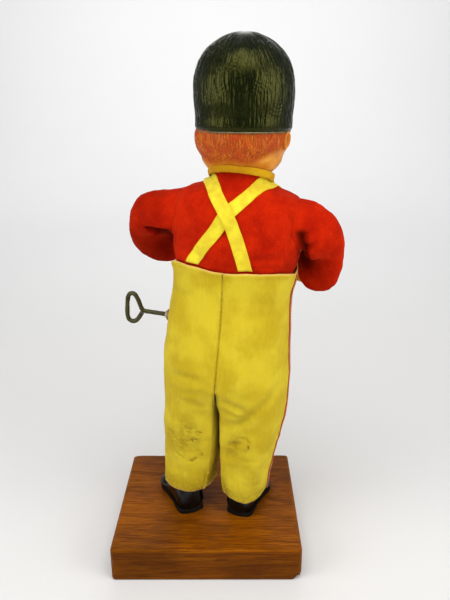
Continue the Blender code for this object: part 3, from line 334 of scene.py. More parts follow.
# --- materials ----------------------------------------------------------------------------------------
class Look:
    """A procedural material, built up node by node. Sizes are in millimetres."""

    def __init__(self, name, roughness=0.5, metallic=0.0, **inputs):
        self.made = bpy.data.materials.new(name)
        self.made.use_nodes = True
        self.tree = self.made.node_tree
        self.shader = self.tree.nodes["Principled BSDF"]
        self.put(self.shader, {"Roughness": roughness, "Metallic": metallic, **inputs})
        place = self.node("ShaderNodeTexCoord")
        self.at = self.math3("MULTIPLY", place.outputs["Object"], (1000, 1000, 1000))

    def put(self, node, inputs):
        for key, value in inputs.items():
            if isinstance(value, bpy.types.NodeSocket):
                self.tree.links.new(value, node.inputs[key])
            else:
                node.inputs[key].default_value = value

    def node(self, kind, inputs=None, **settings):
        made = self.tree.nodes.new(kind)
        for key, value in settings.items():
            setattr(made, key, value)
        self.put(made, inputs or {})
        return made

    def math(self, operation, a, b=0.0, clamp=False):
        return self.node("ShaderNodeMath", {0: a, 1: b}, operation=operation, use_clamp=clamp).outputs[0]

    def times(self, a, b, clamp=False):
        return self.math("MULTIPLY", a, b, clamp)

    def plus(self, a, b):
        return self.math("ADD", a, b)

    def minus(self, a, b):
        return self.math("SUBTRACT", a, b)

    def over(self, a, b):
        return self.math("DIVIDE", a, b)

    def math3(self, operation, a, b):
        return self.node("ShaderNodeVectorMath", {0: a, 1: b}, operation=operation).outputs[0]

    def noise(self, size, stretch=(1, 1, 1), detail=3.0, roughness=0.55, distortion=0.0, seed=0.0):
        """Noise with features of about size, stretched along each axis."""
        scale = tuple(1 / (size * s) for s in stretch)
        place = self.math3("MULTIPLY", self.at, scale)
        place = self.math3("ADD", place, (seed, seed * 1.7, seed * 0.6))
        inputs = {
            "Vector": place, "Scale": 1.0, "Detail": detail, "Roughness": roughness,
            "Distortion": distortion,
        }
        return self.node("ShaderNodeTexNoise", inputs).outputs["Fac"]

    def ramp(self, value, *stops, ease="EASE"):
        made = self.node("ShaderNodeValToRGB", {"Fac": value})
        made.color_ramp.interpolation = ease
        elements = made.color_ramp.elements
        while len(elements) < len(stops):
            elements.new(0.5)
        for element, (position, colour) in zip(elements, stops):
            element.position = position
            element.color = (*colour, 1) if hasattr(colour, "__len__") else (colour, colour, colour, 1)
        return made.outputs["Color"]

    def mix(self, share, a, b):
        made = self.node("ShaderNodeMix", data_type="RGBA", blend_type="MIX")
        for socket, value in ((made.inputs[0], share), (made.inputs[6], a), (made.inputs[7], b)):
            if isinstance(value, bpy.types.NodeSocket):
                self.tree.links.new(value, socket)
            else:
                socket.default_value = (*value, 1) if hasattr(value, "__len__") and len(value) == 3 else value
        return made.outputs[2]

    def mark(self, name):
        """A value stored on the mesh's points."""
        return self.node("ShaderNodeAttribute", attribute_name=name).outputs["Fac"]

    def part(self, vector, axis):
        return self.node("ShaderNodeSeparateXYZ", {0: vector}).outputs[axis]

    def uv(self):
        return self.node("ShaderNodeTexCoord").outputs["UV"]

    def relief(self, *layers):
        """Bumps from (height, depth in mm) layers."""
        normal = None
        for height, depth in layers:
            inputs = {"Height": height, "Distance": depth * MM, "Strength": 1.0}
            if normal:
                inputs["Normal"] = normal
            normal = self.node("ShaderNodeBump", inputs).outputs["Normal"]
        self.put(self.shader, {"Normal": normal})

    def colour(self, value):
        self.put(
            self.shader, {"Base Color": value if isinstance(value, bpy.types.NodeSocket) else (*value, 1)},
        )

    def done(self, **inputs):
        self.put(self.shader, {key.replace("_", " "): value for key, value in inputs.items()})
        return self.made


def srgb(r, g, b):
    """A colour from 0-255 screen values."""
    return tuple((v / 255 / 12.92) if v <= 10 else ((v / 255 + 0.055) / 1.055) ** 2.4 for v in (r, g, b))


def felt_look(name, base, deep, warm):
    look = Look(name, roughness=0.95)
    broad = look.noise(11, detail=3)
    fleck = look.noise(0.9, detail=4, roughness=0.7, seed=3)
    tone = look.mix(look.ramp(broad, (0.32, 0.0), (0.68, 1.0)), deep, base)
    tone = look.mix(look.ramp(fleck, (0.52, 0.0), (0.75, 0.55)), tone, warm)
    shade = look.mark("shade")
    tone = look.mix(look.times(shade, 0.93, clamp=True), tone, tuple(0.06 * v for v in base))
    look.colour(tone)
    fibres = look.noise(0.28, stretch=(1, 1, 1), detail=3, roughness=0.75, distortion=1.4, seed=9)
    lint = look.noise(1.6, detail=3, roughness=0.6, distortion=0.8, seed=5)
    look.relief((fibres, 0.10), (lint, 0.30))
    return look.done(
        Sheen_Weight=0.12, Sheen_Roughness=0.5, Sheen_Tint=(1.0, 0.16, 0.03, 1), Specular_IOR_Level=0.04
    )


THREAD = 0.42  # distance between threads of the cotton


def cotton_look(name, base, deep, pale, stains=True):
    look = Look(name, roughness=0.85)
    across, along = look.part(look.uv(), 0), look.part(look.uv(), 1)
    warp = look.math("ABSOLUTE", look.math("SINE", look.times(across, pi / THREAD)))
    weft = look.math("ABSOLUTE", look.math("SINE", look.times(along, pi / (THREAD * 0.9))))
    slub = look.noise(1.0, stretch=(0.45, 0.45, 14), detail=2, seed=2)
    cloud = look.noise(16, detail=4, seed=4)
    tone = look.mix(look.ramp(cloud, (0.35, 0.0), (0.65, 1.0)), deep, base)
    tone = look.mix(look.times(look.ramp(slub, (0.45, 0.0), (0.75, 1.0)), 0.22), tone, pale)
    threads = look.times(warp, weft)
    tone = look.mix(look.times(look.minus(1.0, threads), 0.22), tone, deep)
    if stains:
        soil = look.mark("soil")
        grime = look.noise(3.2, stretch=(1.3, 1, 0.8), detail=6, roughness=0.72, distortion=0.6, seed=7)
        spot = look.times(soil, look.ramp(grime, (0.36, 0.0), (0.56, 1.0)), clamp=True)
        tone = look.mix(look.times(spot, 0.85), tone, srgb(96, 64, 10))
        # painted highlight: where the edge mark is set, along the rolled waist and leg hems, the cotton is
        # painted paler as though lit
        tone = look.mix(look.times(look.mark("edge"), 0.75), tone, srgb(240, 190, 110))
        tone = look.mix(look.times(look.mark("shade"), 0.9), tone, srgb(70, 42, 8))
    look.colour(tone)
    look.relief((warp, 0.05), (weft, 0.05), (slub, 0.035))
    return look.done(Sheen_Weight=0.04, Sheen_Roughness=0.6, Specular_IOR_Level=0.08)


def tape_look(name, base, deep, pale):
    look = Look(name, roughness=0.6)
    across, along = look.part(look.uv(), 0), look.part(look.uv(), 1)
    ribs = look.math("ABSOLUTE", look.math("SINE", look.times(along, pi / 0.38)))
    warp = look.math("ABSOLUTE", look.math("SINE", look.times(across, pi / 0.5)))
    cloud = look.noise(5, detail=4, seed=1)
    tone = look.mix(look.ramp(cloud, (0.35, 0.0), (0.65, 1.0)), deep, base)
    tone = look.mix(look.times(look.times(ribs, warp), 0.45), tone, pale)
    soft = look.noise(1.1, detail=4, seed=6)
    tone = look.mix(look.ramp(soft, (0.62, 0.0), (0.8, 0.5)), tone, deep)
    tone = look.mix(look.times(look.mark("edge"), 0.55), tone, deep)
    tone = look.mix(look.times(look.mark("shade"), 0.8), tone, srgb(120, 84, 12))
    look.colour(tone)
    look.relief((ribs, 0.07), (warp, 0.03))
    return look.done(Sheen_Weight=0.03, Specular_IOR_Level=0.12)


def wood_look():
    """Flat-sawn board: rings round a line under the board, which runs along X and tips a little."""
    look = Look("stained_oak", roughness=0.42)
    wave = look.noise(60, stretch=(1.6, 1, 1), detail=2, seed=3)
    small = look.noise(9, stretch=(6, 1, 1), detail=3, seed=5)
    x, y, z = (look.part(look.at, k) for k in range(3))
    drift = look.plus(look.times(wave, 15.0), look.times(small, 1.6))
    up = look.plus(look.plus(z, 26.0), look.times(x, 0.05))
    up = look.plus(up, look.times(drift, look.ramp(look.over(z, BASE[2]), (0.5, 0.15), (1.0, 1.0))))
    aside = look.plus(look.plus(y, 4.0), look.times(x, 0.03))
    reach = look.math("SQRT", look.plus(look.times(up, up), look.times(aside, aside)))
    ring = look.math("FRACT", look.over(reach, 4.6))
    late = look.ramp(ring, (0.0, 0.12), (0.5, 0.0), (0.84, 0.45), (0.94, 1.0), (1.0, 0.12), ease="LINEAR")
    grain = look.noise(1.0, stretch=(24, 0.34, 0.34), detail=4, roughness=0.6, seed=8)
    pores = look.noise(1.0, stretch=(8.5, 0.17, 0.17), detail=2, roughness=0.5, seed=11)
    pore = look.ramp(pores, (0.55, 0.0), (0.66, 1.0))
    blotch = look.noise(22, stretch=(1.6, 1, 1), detail=4, seed=13)
    light, mid, dark = srgb(162, 92, 3), srgb(124, 60, 1), srgb(62, 28, 1)
    tone = look.mix(look.ramp(grain, (0.34, 0.0), (0.66, 1.0)), mid, light)
    tone = look.mix(look.times(late, 0.42), tone, dark)
    tone = look.mix(look.times(pore, 0.55), tone, srgb(52, 25, 2))
    tone = look.mix(look.ramp(blotch, (0.35, 0.55), (0.62, 0.0)), tone, srgb(84, 42, 2))
    # painted shade: below the top edge the block's sides are darkened, as they get less light than the top
    tone = look.mix(look.ramp(look.over(z, BASE[2]), (0.90, 0.42), (0.985, 0.0)), tone, srgb(60, 24, 1))
    worn = look.mark("wear")
    tone = look.mix(look.times(worn, 0.35), tone, srgb(150, 92, 20))
    look.colour(tone)
    rough_mix = look.plus(look.times(pore, 0.25), look.plus(look.times(blotch, 0.2), 0.30))
    look.relief((grain, 0.06), (look.minus(1.0, pore), 0.10))
    return look.done(Roughness=rough_mix, Specular_IOR_Level=0.05)


def fur_look():
    look = Look("moulded_bearskin", roughness=0.3)
    strand = look.noise(0.8, stretch=(0.55, 0.55, 5.0), detail=4, roughness=0.6, distortion=0.5, seed=1)
    cloud = look.noise(9, detail=3, seed=2)
    tone = look.mix(look.ramp(strand, (0.35, 0.0), (0.70, 1.0)), srgb(1, 4, 2), srgb(5, 14, 7))
    tone = look.mix(look.ramp(cloud, (0.40, 0.0), (0.75, 0.4)), tone, srgb(8, 18, 7))
    tone = look.mix(look.times(look.mark("ridge"), 0.25), tone, srgb(14, 28, 12))
    look.colour(tone)
    look.relief((strand, 0.12))
    wear = look.plus(0.09, look.times(look.noise(4, detail=4, seed=6), 0.15))
    return look.done(
        Roughness=wear, Specular_IOR_Level=0.34, Specular_Tint=(1.0, 0.98, 0.22, 1)
    )


def head_look():
    """Moulded head: painted auburn hair, fading to tan skin where hair's mark falls."""
    look = Look("painted_head", roughness=0.42)
    hair = look.mark("hair")
    strand = look.noise(0.9, stretch=(0.5, 0.5, 7.0), detail=3, roughness=0.55, distortion=0.5, seed=3)
    streak = look.noise(3.2, stretch=(1, 1, 1.8), detail=3, seed=4)
    skin_tone = look.mix(
        look.ramp(look.noise(5, detail=4, seed=8), (0.35, 0.0), (0.7, 1.0)), srgb(206, 128, 34),
        srgb(226, 156, 58),
    )
    blush = look.mark("blush")
    skin_tone = look.mix(look.times(blush, 0.6, clamp=True), skin_tone, srgb(216, 96, 62))
    auburn = look.mix(look.ramp(strand, (0.36, 0.0), (0.68, 1.0)), srgb(150, 58, 8), srgb(216, 116, 30))
    auburn = look.mix(look.ramp(streak, (0.40, 0.0), (0.66, 0.8)), auburn, srgb(176, 62, 14))
    edge = look.plus(hair, look.times(look.minus(strand, 0.5), 0.5))
    tone = look.mix(look.ramp(edge, (0.10, 0.0), (0.95, 1.0)), skin_tone, auburn)
    tone = look.mix(look.mark("lip"), tone, srgb(158, 48, 40))
    tone = look.mix(look.mark("brow"), tone, srgb(112, 50, 22))
    tone = look.mix(look.mark("white"), tone, srgb(226, 220, 204))
    tone = look.mix(look.mark("iris"), tone, srgb(58, 44, 30))
    tone = look.mix(look.times(look.mark("shade"), 0.75), tone, srgb(88, 40, 14))
    look.colour(tone)
    look.relief((look.times(strand, hair), 0.12), (look.noise(1.2, detail=3, seed=9), 0.03))
    return look.done(Specular_IOR_Level=0.14, Coat_Weight=0.03, Coat_Roughness=0.3)


def paint_look(name, base, deep, roughness=0.35, coat=0.3, chips=None, size=6.0, gloss=0.5):
    """Brushed-on paint with soft clouds, small scratches and rubbed places."""
    look = Look(name, roughness=roughness)
    cloud = look.noise(size, detail=4, seed=1)
    tone = look.mix(look.ramp(cloud, (0.35, 0.0), (0.70, 1.0)), deep, base)
    if chips:
        rub = look.noise(2.4, detail=7, roughness=0.75, distortion=0.3, seed=5)
        tone = look.mix(look.ramp(rub, (0.66, 0.0), (0.70, 1.0)), tone, chips)
    look.colour(tone)
    fine = look.noise(0.6, detail=4, seed=7)
    look.relief((fine, 0.03), (cloud, 0.12))
    vary = look.plus(roughness - 0.08, look.times(look.noise(2.2, detail=5, seed=9), 0.22))
    return look.done(Roughness=vary, Coat_Weight=coat, Coat_Roughness=0.15, Specular_IOR_Level=gloss)


def metal_look(name, base, deep, roughness=0.32, grain=(1, 1, 1), tarnish=0.5, rust=None):
    look = Look(name, roughness=roughness, metallic=1.0)
    cloud = look.noise(5, detail=5, roughness=0.65, seed=1)
    tone = look.mix(look.times(look.ramp(cloud, (0.40, 0.0), (0.70, 1.0)), tarnish), base, deep)
    metallic = 1.0
    if rust:
        spots = look.noise(1.5, detail=6, roughness=0.7, seed=4)
        rusty = look.ramp(spots, (0.50, 0.0), (0.62, 1.0))
        tone = look.mix(look.times(rusty, 0.7), tone, rust)
        metallic = look.minus(1.0, look.times(rusty, 0.75))
    look.colour(tone)
    lines = look.noise(0.5, stretch=grain, detail=3, roughness=0.7, seed=2)
    vary = look.plus(roughness - 0.08, look.times(cloud, 0.22))
    look.relief((lines, 0.02), (cloud, 0.05))
    return look.done(Roughness=vary, Metallic=metallic)


def braid_look():
    look = Look("braid", roughness=0.75)
    across, along = look.part(look.uv(), 0), look.part(look.uv(), 1)
    lean = look.math("ABSOLUTE", look.minus(across, 1.3))
    ply = look.math("SINE", look.times(look.plus(along, lean), tau / 1.5))
    ply = look.plus(look.times(ply, 0.5), 0.5)
    hair = look.noise(0.3, detail=3, seed=4)
    tone = look.mix(ply, srgb(138, 30, 8), srgb(214, 84, 22))
    tone = look.mix(
        look.ramp(look.noise(7, detail=3, seed=5), (0.4, 0.0), (0.65, 0.75)), tone, srgb(186, 112, 30),
    )
    tone = look.mix(look.ramp(hair, (0.5, 0.0), (0.75, 0.5)), tone, srgb(236, 130, 40))
    look.colour(tone)
    look.relief((ply, 0.16), (hair, 0.05))
    return look.done(Sheen_Weight=0.2)


def floor_look():
    look = Look("studio_floor", roughness=0.9)
    cloud = look.noise(400, detail=2)
    look.colour(look.mix(look.ramp(cloud, (0.3, 0.0), (0.7, 1.0)), (0.80, 0.80, 0.805), (0.81, 0.81, 0.815)))
    return look.done(Specular_IOR_Level=0.05)


FELT = felt_look("red_felt", srgb(198, 34, 4), srgb(170, 22, 3), srgb(214, 62, 12))
COTTON = cotton_look("yellow_cotton", srgb(218, 195, 42), srgb(196, 168, 22), srgb(234, 216, 88))
COLLAR = cotton_look("collar_cotton", srgb(220, 172, 12), srgb(192, 136, 6), srgb(228, 188, 40), stains=False)
TAPE = tape_look("yellow_tape", srgb(240, 222, 34), srgb(222, 190, 20), srgb(250, 238, 90))
BRAID = braid_look()
WOOD = wood_look()
FUR = fur_look()
PAINTED_HEAD = head_look()
SHOE = paint_look("shoe_black", srgb(8, 7, 6), srgb(4, 4, 3), 0.18, 0.0, None, 5, 0.30)
SOLE = paint_look("shoe_sole", srgb(22, 17, 11), srgb(12, 9, 6), 0.6, 0.0, None, 3, gloss=0.12)
ARM_PAINT = paint_look(
    "painted_arm", srgb(214, 150, 88), srgb(196, 128, 66), 0.38, 0.25, srgb(120, 110, 96), 7,
)
DRUM_PAINT = paint_look("drum_blue", srgb(28, 52, 122), srgb(18, 36, 92), 0.28, 0.5, srgb(120, 118, 110), 12)
HOOP_PAINT = paint_look("drum_hoops", srgb(222, 184, 44), srgb(204, 156, 26), 0.32, 0.4, srgb(110, 92, 60), 8)
SKIN_CARD = paint_look(
    "drum_skin", srgb(236, 226, 200), srgb(222, 206, 170), 0.6, 0.0, srgb(196, 176, 138), 9,
)
STICK = paint_look("stick_wood", srgb(206, 160, 96), srgb(184, 134, 72), 0.45, 0.15, srgb(150, 104, 56), 4)
CORD = tape_look("drum_cord", srgb(236, 228, 206), srgb(206, 192, 156), srgb(246, 240, 224))
STEEL = metal_look("steel", (0.46, 0.45, 0.43), (0.24, 0.22, 0.20), 0.34)
BLUED = metal_look("blued_steel", (0.085, 0.09, 0.10), (0.05, 0.045, 0.035), 0.34)
BRASS = metal_look("brass", (0.72, 0.52, 0.22), (0.42, 0.27, 0.10), 0.30)
TIN = metal_look("tinplate", (0.62, 0.62, 0.60), (0.40, 0.39, 0.36), 0.34, (1, 1, 12), 0.6)
KEY_METAL = metal_look(
    "key_wire", (0.085, 0.085, 0.035), (0.04, 0.04, 0.016), 0.36, (1, 1, 1), 0.8, srgb(62, 44, 20),
)
BUSH = metal_look("key_bush", (0.34, 0.20, 0.07), (0.16, 0.09, 0.04), 0.45, (1, 1, 1), 0.8, srgb(84, 52, 24))
RIM = paint_look("cap_edge", srgb(120, 112, 72), srgb(88, 78, 44), 0.5, 0.1, None, 3)


def on(piece, body, *nodes, slot=None):
    """Rides the piece on a body, in place of the nodes."""
    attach(piece, body)
    if nodes:
        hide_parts(*nodes)
    return piece


# --- the block ----------------------------------------------------------------------------------------
def make_block():
    w, d, h = (side / 2 for side in BASE)
    bm = bmesh.new()
    bmesh.ops.create_cube(bm, size=2)
    bmesh.ops.scale(bm, vec=(w, d, h), verts=bm.verts)
    bmesh.ops.translate(bm, vec=(0, 0, h), verts=bm.verts)
    upright = [e for e in bm.edges if abs(e.verts[0].co.z - e.verts[1].co.z) > 1]
    bmesh.ops.bevel(bm, geom=upright, offset=2.2, segments=5, profile=0.5, affect="EDGES")
    rims = [e for e in bm.edges if len(e.link_faces) == 2 and e.calc_face_angle(0) > 1.0]
    bmesh.ops.bevel(bm, geom=rims, offset=0.9, segments=4, profile=0.5, affect="EDGES")
    bmesh.ops.scale(bm, vec=(MM, MM, MM), verts=bm.verts)
    mesh = bpy.data.meshes.new("wood_block")
    bm.to_mesh(mesh)
    bm.free()
    block = bpy.data.objects.new("wood_block", mesh)
    bpy.context.scene.collection.objects.link(block)
    mesh.materials.append(WOOD)
    remesh = block.modifiers.new("Remesh", "REMESH")
    remesh.mode, remesh.voxel_size = "VOXEL", 0.55 * MM
    applied(block)
    P = coords(block)
    out = np.stack([P[:, 0] / w, P[:, 1] / d, (P[:, 2] - h) / h], axis=1)
    edge = np.sort(np.abs(out), axis=1)[:, 1]
    near = step(0.955, 1.0, edge)
    chew = rough(P, (9, 9, 5), 3, 1)
    P -= out * (np.clip(chew, 0, 1) * near * 0.55)[:, None]
    chip = np.exp(-(((P - (-w + 0.4, d - 0.4, 0.6)) / (2.6, 2.2, 2.2)) ** 2).sum(1))
    P += chip[:, None] * (1.5, -1.3, 0.9)
    P[:, 2] = np.where(P[:, 2] < 0.02, 0.0, P[:, 2])
    P[:, 2] += np.where(P[:, 2] > 18, rough(P, (30, 3, 6), 2, 5) * 0.05, 0)
    mesh = block.data
    mesh.vertices.foreach_set("co", (P * MM).astype(np.float32).ravel())
    wear = near * (0.35 + 0.65 * np.clip(rough(P, 6, 3, 2) + 0.4, 0, 1))
    mesh.attributes.new("wear", "FLOAT", "POINT").data.foreach_set("value", wear.astype(np.float32))
    tools = []
    for side in ("left", "right"):
        low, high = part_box(f"base_screw_{side}")
        spot = (low + high) / 2
        for radius, top in ((4.2, 5.0), (2.3, 30.0)):
            rings = turned_grid([(radius, -4), (radius, top)], 48)
            tool = skin(
                f"tool_{side}_{top:.0f}", rings, WOOD, caps=(True, True),
                matrix=Matrix.Translation((spot.x, spot.y, 0)),
            )
            tools.append(tool)
            cut = block.modifiers.new("Cut", "BOOLEAN")
            cut.operation, cut.object, cut.solver = "DIFFERENCE", tool, "EXACT"
    applied(block)
    for tool in tools:
        bpy.data.objects.remove(tool)
    block.data.shade_smooth()
    block.data.set_sharp_from_angle(angle=radians(35))
    on(block, "standing_figure", "wood_base", slot="walnut")


# --- shoes --------------------------------------------------------------------------------------------
SHOES = {"left": ((8.2, 13.4), 25), "right": ((-16.4, 16.3), -24)}
SHOE_LENGTH = 36.0
# Share of the length, half width, height of the upper
SHOE_UPPER = [
    (0.00, 3.4, 12.0),
    (0.02, 5.5, 15.0),
    (0.07, 6.8, 17.2),
    (0.16, 7.3, 18.2),
    (0.27, 7.3, 18.0),
    (0.40, 7.2, 15.6),
    (0.50, 7.3, 12.0),
    (0.62, 7.5, 9.3),
    (0.76, 8.4, 7.9),
    (0.88, 7.7, 7.2),
    (0.95, 6.0, 6.2),
    (1.00, 2.6, 4.6),
]


def make_shoes():
    for side, ((heel_x, heel_y), toe_out) in SHOES.items():
        turn = Matrix.Translation(
            (heel_x * MM, heel_y * MM, BASE[2] * MM)
        ) @ Matrix.Rotation(radians(toe_out), 4, "Z")
        shares = np.unique(
            np.concatenate([np.linspace(0, 0.1, 9), np.linspace(0.1, 0.9, 40), np.linspace(0.9, 1, 9)])
        )
        shape = curve(SHOE_UPPER, shares)
        angle = np.linspace(0, tau, 49)[:-1]
        rings = []
        for share, (half, tall) in zip(shares, shape):
            c, s = np.cos(angle), np.sin(angle)
            belly = 1 + 0.10 * bell(s + 0.35, 0.5)
            reach = (np.abs(c) ** 2.4 + np.abs(s) ** 2.4) ** (-1 / 2.4)
            low = 1.9
            z = low + (tall - low) * (0.42 + 0.58 * s * reach)
            z = np.where(s < 0, low + (tall - low) * 0.42 * (1 + s * reach), z)
            lean = 1.1 * step(6, 0, share * SHOE_LENGTH) * step(4, 14, z)
            rings.append(np.stack([half * reach * c * belly, -share * SHOE_LENGTH + 0 * c - lean, z], axis=1))
        P = np.array(rings)
        N = grid_normals(P, True)
        crease = bell(
            P[..., 1] + 17.5 + 0.25 * P[..., 0], 0.5,
        ) + 0.7 * bell(P[..., 1] + 19.6 - 0.2 * P[..., 0], 0.5)
        P = P - N * np.sign(
            np.sum(N * (P - P.mean(1, keepdims=True)), axis=2, keepdims=True)
        ) * (crease * step(6, 8, P[..., 2]) * 0.3)[..., None]
        P += (rough(P, 5, 2, 4) * 0.07)[..., None] * N
        seam = bell(P[..., 0], 0.35) * step(-5, -1.5, P[..., 1])
        P[..., 1] += seam * 0.22
        upper = skin(f"shoe_upper_{side}", P, SHOE, caps=(True, True), matrix=turn)
        on(upper, "standing_figure", f"shoe_{side}", slot="shoe_black")
        edge = curve([(s, h) for s, h, _ in SHOE_UPPER], shares)[:, 0] + 0.3
        left = [(e, -s * SHOE_LENGTH) for s, e in zip(shares, edge)]
        right = [(-e, -s * SHOE_LENGTH) for s, e in zip(shares[::-1], edge[::-1])]
        outline = np.array([(0, 0.7), *left, (0, -SHOE_LENGTH - 0.7), *right])
        rows = []
        for z, grow in (
            (0.0, -0.25), (0.15, 0.0), (1.1, 0.0), (1.5, -0.2), (1.75, -0.2), (2.1, 0.0), (2.35, -0.3),
        ):
            middle = outline.mean(0)
            ring = outline + grow * (outline - middle) / np.linalg.norm(
                outline - middle, axis=1, keepdims=True,
            )
            waist = bell(ring[:, 1] + 12.5, 3.4) * step(2.2, 0.5, z) * 1.1
            rows.append(np.column_stack([ring, z + waist * (1 if z < 1.2 else 0.2)]))
        sole = skin(f"shoe_sole_{side}", np.array(rows), SOLE, caps=(True, True), matrix=turn)
        on(sole, "standing_figure", slot="shoe_black")
        laces = []
        for k, y in enumerate((-15.4, -17.6)):
            half = 4.2
            ts = np.linspace(-1, 1, 15)
            top = curve([(s * SHOE_LENGTH, h) for s, _, h in SHOE_UPPER], -y + 0 * ts)[:, 0]
            path = np.stack([half * ts, y + 0.5 * ts * (-1) ** k, top + 0.25 - 1.4 * ts**2], axis=1)
            laces.append(tube(f"lace_{side}_{k}", path, 0.42, SHOE, 10, matrix=turn))
        lace = merged(f"shoe_laces_{side}", laces)
        on(lace, "standing_figure", slot="shoe_black")


make_block()
make_shoes()


# --- trousers -----------------------------------------------------------------------------------------
# Outside of the trousers: height, half width, half depth, sideways shift
TROUSER_TOP = [
    (148, 31.9, 24.5, 0.4),
    (143, 31.9, 24.4, 0.4),
    (137, 31.3, 23.8, 0.0),
    (131, 30.6, 23.5, 0.5),
    (123, 31.1, 24.0, 0.9),
    (114, 32.0, 25.2, 1.2),
    (104, 32.5, 26.0, 1.2),
    (96, 33.2, 26.5, 1.2),
    (87, 33.6, 26.6, 0.8),
    (80, 33.6, 25.6, 0.5),
    (60, 33.4, 22.0, 0.2),
]
# Outside of a leg: height, centre x, half width, centre y, half depth
TROUSER_LEG = [
    (84, 17.0, 17.0, 0.0, 23.0),
    (72, 17.0, 16.9, 0.0, 21.4),
    (58, 17.0, 16.6, 0.3, 18.8),
    (46, 17.1, 16.2, 0.5, 17.2),
    (36, 17.1, 15.4, 1.0, 15.6),
    (28, 17.1, 14.9, 1.6, 14.6),
    (19, 16.8, 14.0, 2.6, 13.8),
    (11, 16.6, 13.4, 2.9, 13.4),
]
HEM = {"left": [(-pi, 17.8), (-pi / 2, 14.6), (0, 14.6), (pi / 2, 13.6), (pi, 17.8)],
       "right": [(-pi, 17.4), (-pi / 2, 14.4), (0, 17.0), (pi / 2, 13.8), (pi, 17.4)]}
CROTCH_BACK, CROTCH_FRONT, CROTCH_LOW = 82.0, 80.0, 77.0
FORK = 0.46  # share of the rows that lie above the crotch
KEY_Z = 109.8


def waist_height(x, y):
    back = 143.5 + 1.2 * np.minimum(1, np.abs(x - 1) / 12) ** 1.5
    return back - (3.5 + 1.3 * np.tanh(x / 6)) * step(18, 2, y) + 3.4 * step(2, -18, y)


def half_trousers(side, sign):
    """The outer and inner grids of one half. Both run from the waist or crotch down to the hem."""
    outer_rows, outer_cols, inner_cols = 131, 151, 61
    t = np.linspace(0, 1, outer_cols)
    heights = np.linspace(0, 1, outer_rows)
    grid = np.zeros((len(heights), outer_cols, 3))
    flat = (t - 0.5) * pi
    round_angle = (t - 0.5) * 1.5 * pi
    hem = curve(HEM[side], round_angle)[:, 0]
    x0, y0 = oval(32, 24.5, flat)
    top = waist_height(sign * x0, y0)
    split = CROTCH_FRONT + (CROTCH_BACK - CROTCH_FRONT) * t
    corner = bell(np.abs(round_angle) - 0.75 * pi, 0.55)
    for r, h in enumerate(heights):
        z = top + (split - top) * (h / FORK) if h < FORK else split + (hem - split) * (
            (h - FORK) / (1 - FORK)
        )
        hips = curve(TROUSER_TOP, z)
        ax, ay = oval(hips[:, 0], hips[:, 1], flat)
        leg = curve(TROUSER_LEG, z)
        bx, by = oval(leg[:, 1], leg[:, 3], round_angle, 2.15 + 5.5 * corner * step(14, 42, z))
        if side == "right":
            bx = np.where(bx > 0, bx * (1 - 0.30 * step(80, 22, z)), bx)
        w = step(FORK, 0.66, h) if h > FORK else 0.0
        edge = step(0.5, 1.0, np.abs(t - 0.5) * 2)
        w = np.clip(w * (1 + 0.8 * edge * (1 - w)), 0, 1)
        x = (1 - w) * ax + w * (leg[:, 0] + bx)
        y = (1 - w) * ay + w * (leg[:, 2] + by)
        grid[r] = np.stack([sign * x + hips[:, 2] * (1 - 0.6 * w), y, z], axis=1)
    start = int(round(FORK * (outer_rows - 1)))
    lower = grid[start:]
    inner = np.zeros((len(lower), inner_cols, 3))
    u = np.linspace(0, 1, inner_cols)
    inner_angle = 0.75 * pi + u * 0.5 * pi
    hem_in = curve(HEM[side], np.where(inner_angle > pi, inner_angle - tau, inner_angle))[:, 0]
    for r in range(len(lower)):
        share = r / (len(lower) - 1)
        back, front = lower[r, -1], lower[r, 0]
        chord = back + (front - back) * u[:, None]
        dip = (CROTCH_LOW - (CROTCH_BACK + CROTCH_FRONT) / 2) * np.sin(pi * u) ** 0.6
        z = chord[:, 2] + dip * (1 - share) ** 1.5 + (hem_in - chord[:, 2]) * step(0.5, 1.0, share)
        leg = curve(TROUSER_LEG, z)
        bend = bell(inner_angle - 0.75 * pi, 0.55) + bell(inner_angle - 1.25 * pi, 0.55)
        bx, by = oval(leg[:, 1], leg[:, 3], inner_angle, 2.15 + 5.5 * bend * step(14, 42, z))
        w = step(0.0, 0.35, share)
        ring_x = sign * (leg[:, 0] + bx)
        away = np.minimum(1, np.minimum(u, 1 - u) * 7)
        blend = w * away
        x = chord[:, 0] * (1 - blend) + ring_x * blend
        ends = np.minimum(u, 1 - u) * 2
        x = np.where(ends < 1e-6, chord[:, 0], x)
        y = chord[:, 1] * (1 - blend) + (leg[:, 2] + by) * blend
        if r == 0:
            x = chord[:, 0]
        inner[r] = np.stack([x, y, z], axis=1)
        inner[r, 0], inner[r, -1] = back, front
    return grid, inner, start


def crease(P, N, line, depth, width, bank=0.35):
    """Moves points near a line in along their normals, with a soft bank either side."""
    gap, along = line_distance(P, line)
    fade = np.sin(pi * np.clip(along, 0.03, 0.97)) ** 0.6
    move = -depth * bell(gap, width) + depth * bank * bell(gap - 2.0 * width, width)
    return N * (move * fade)[..., None], bell(gap, width * 0.8) * fade


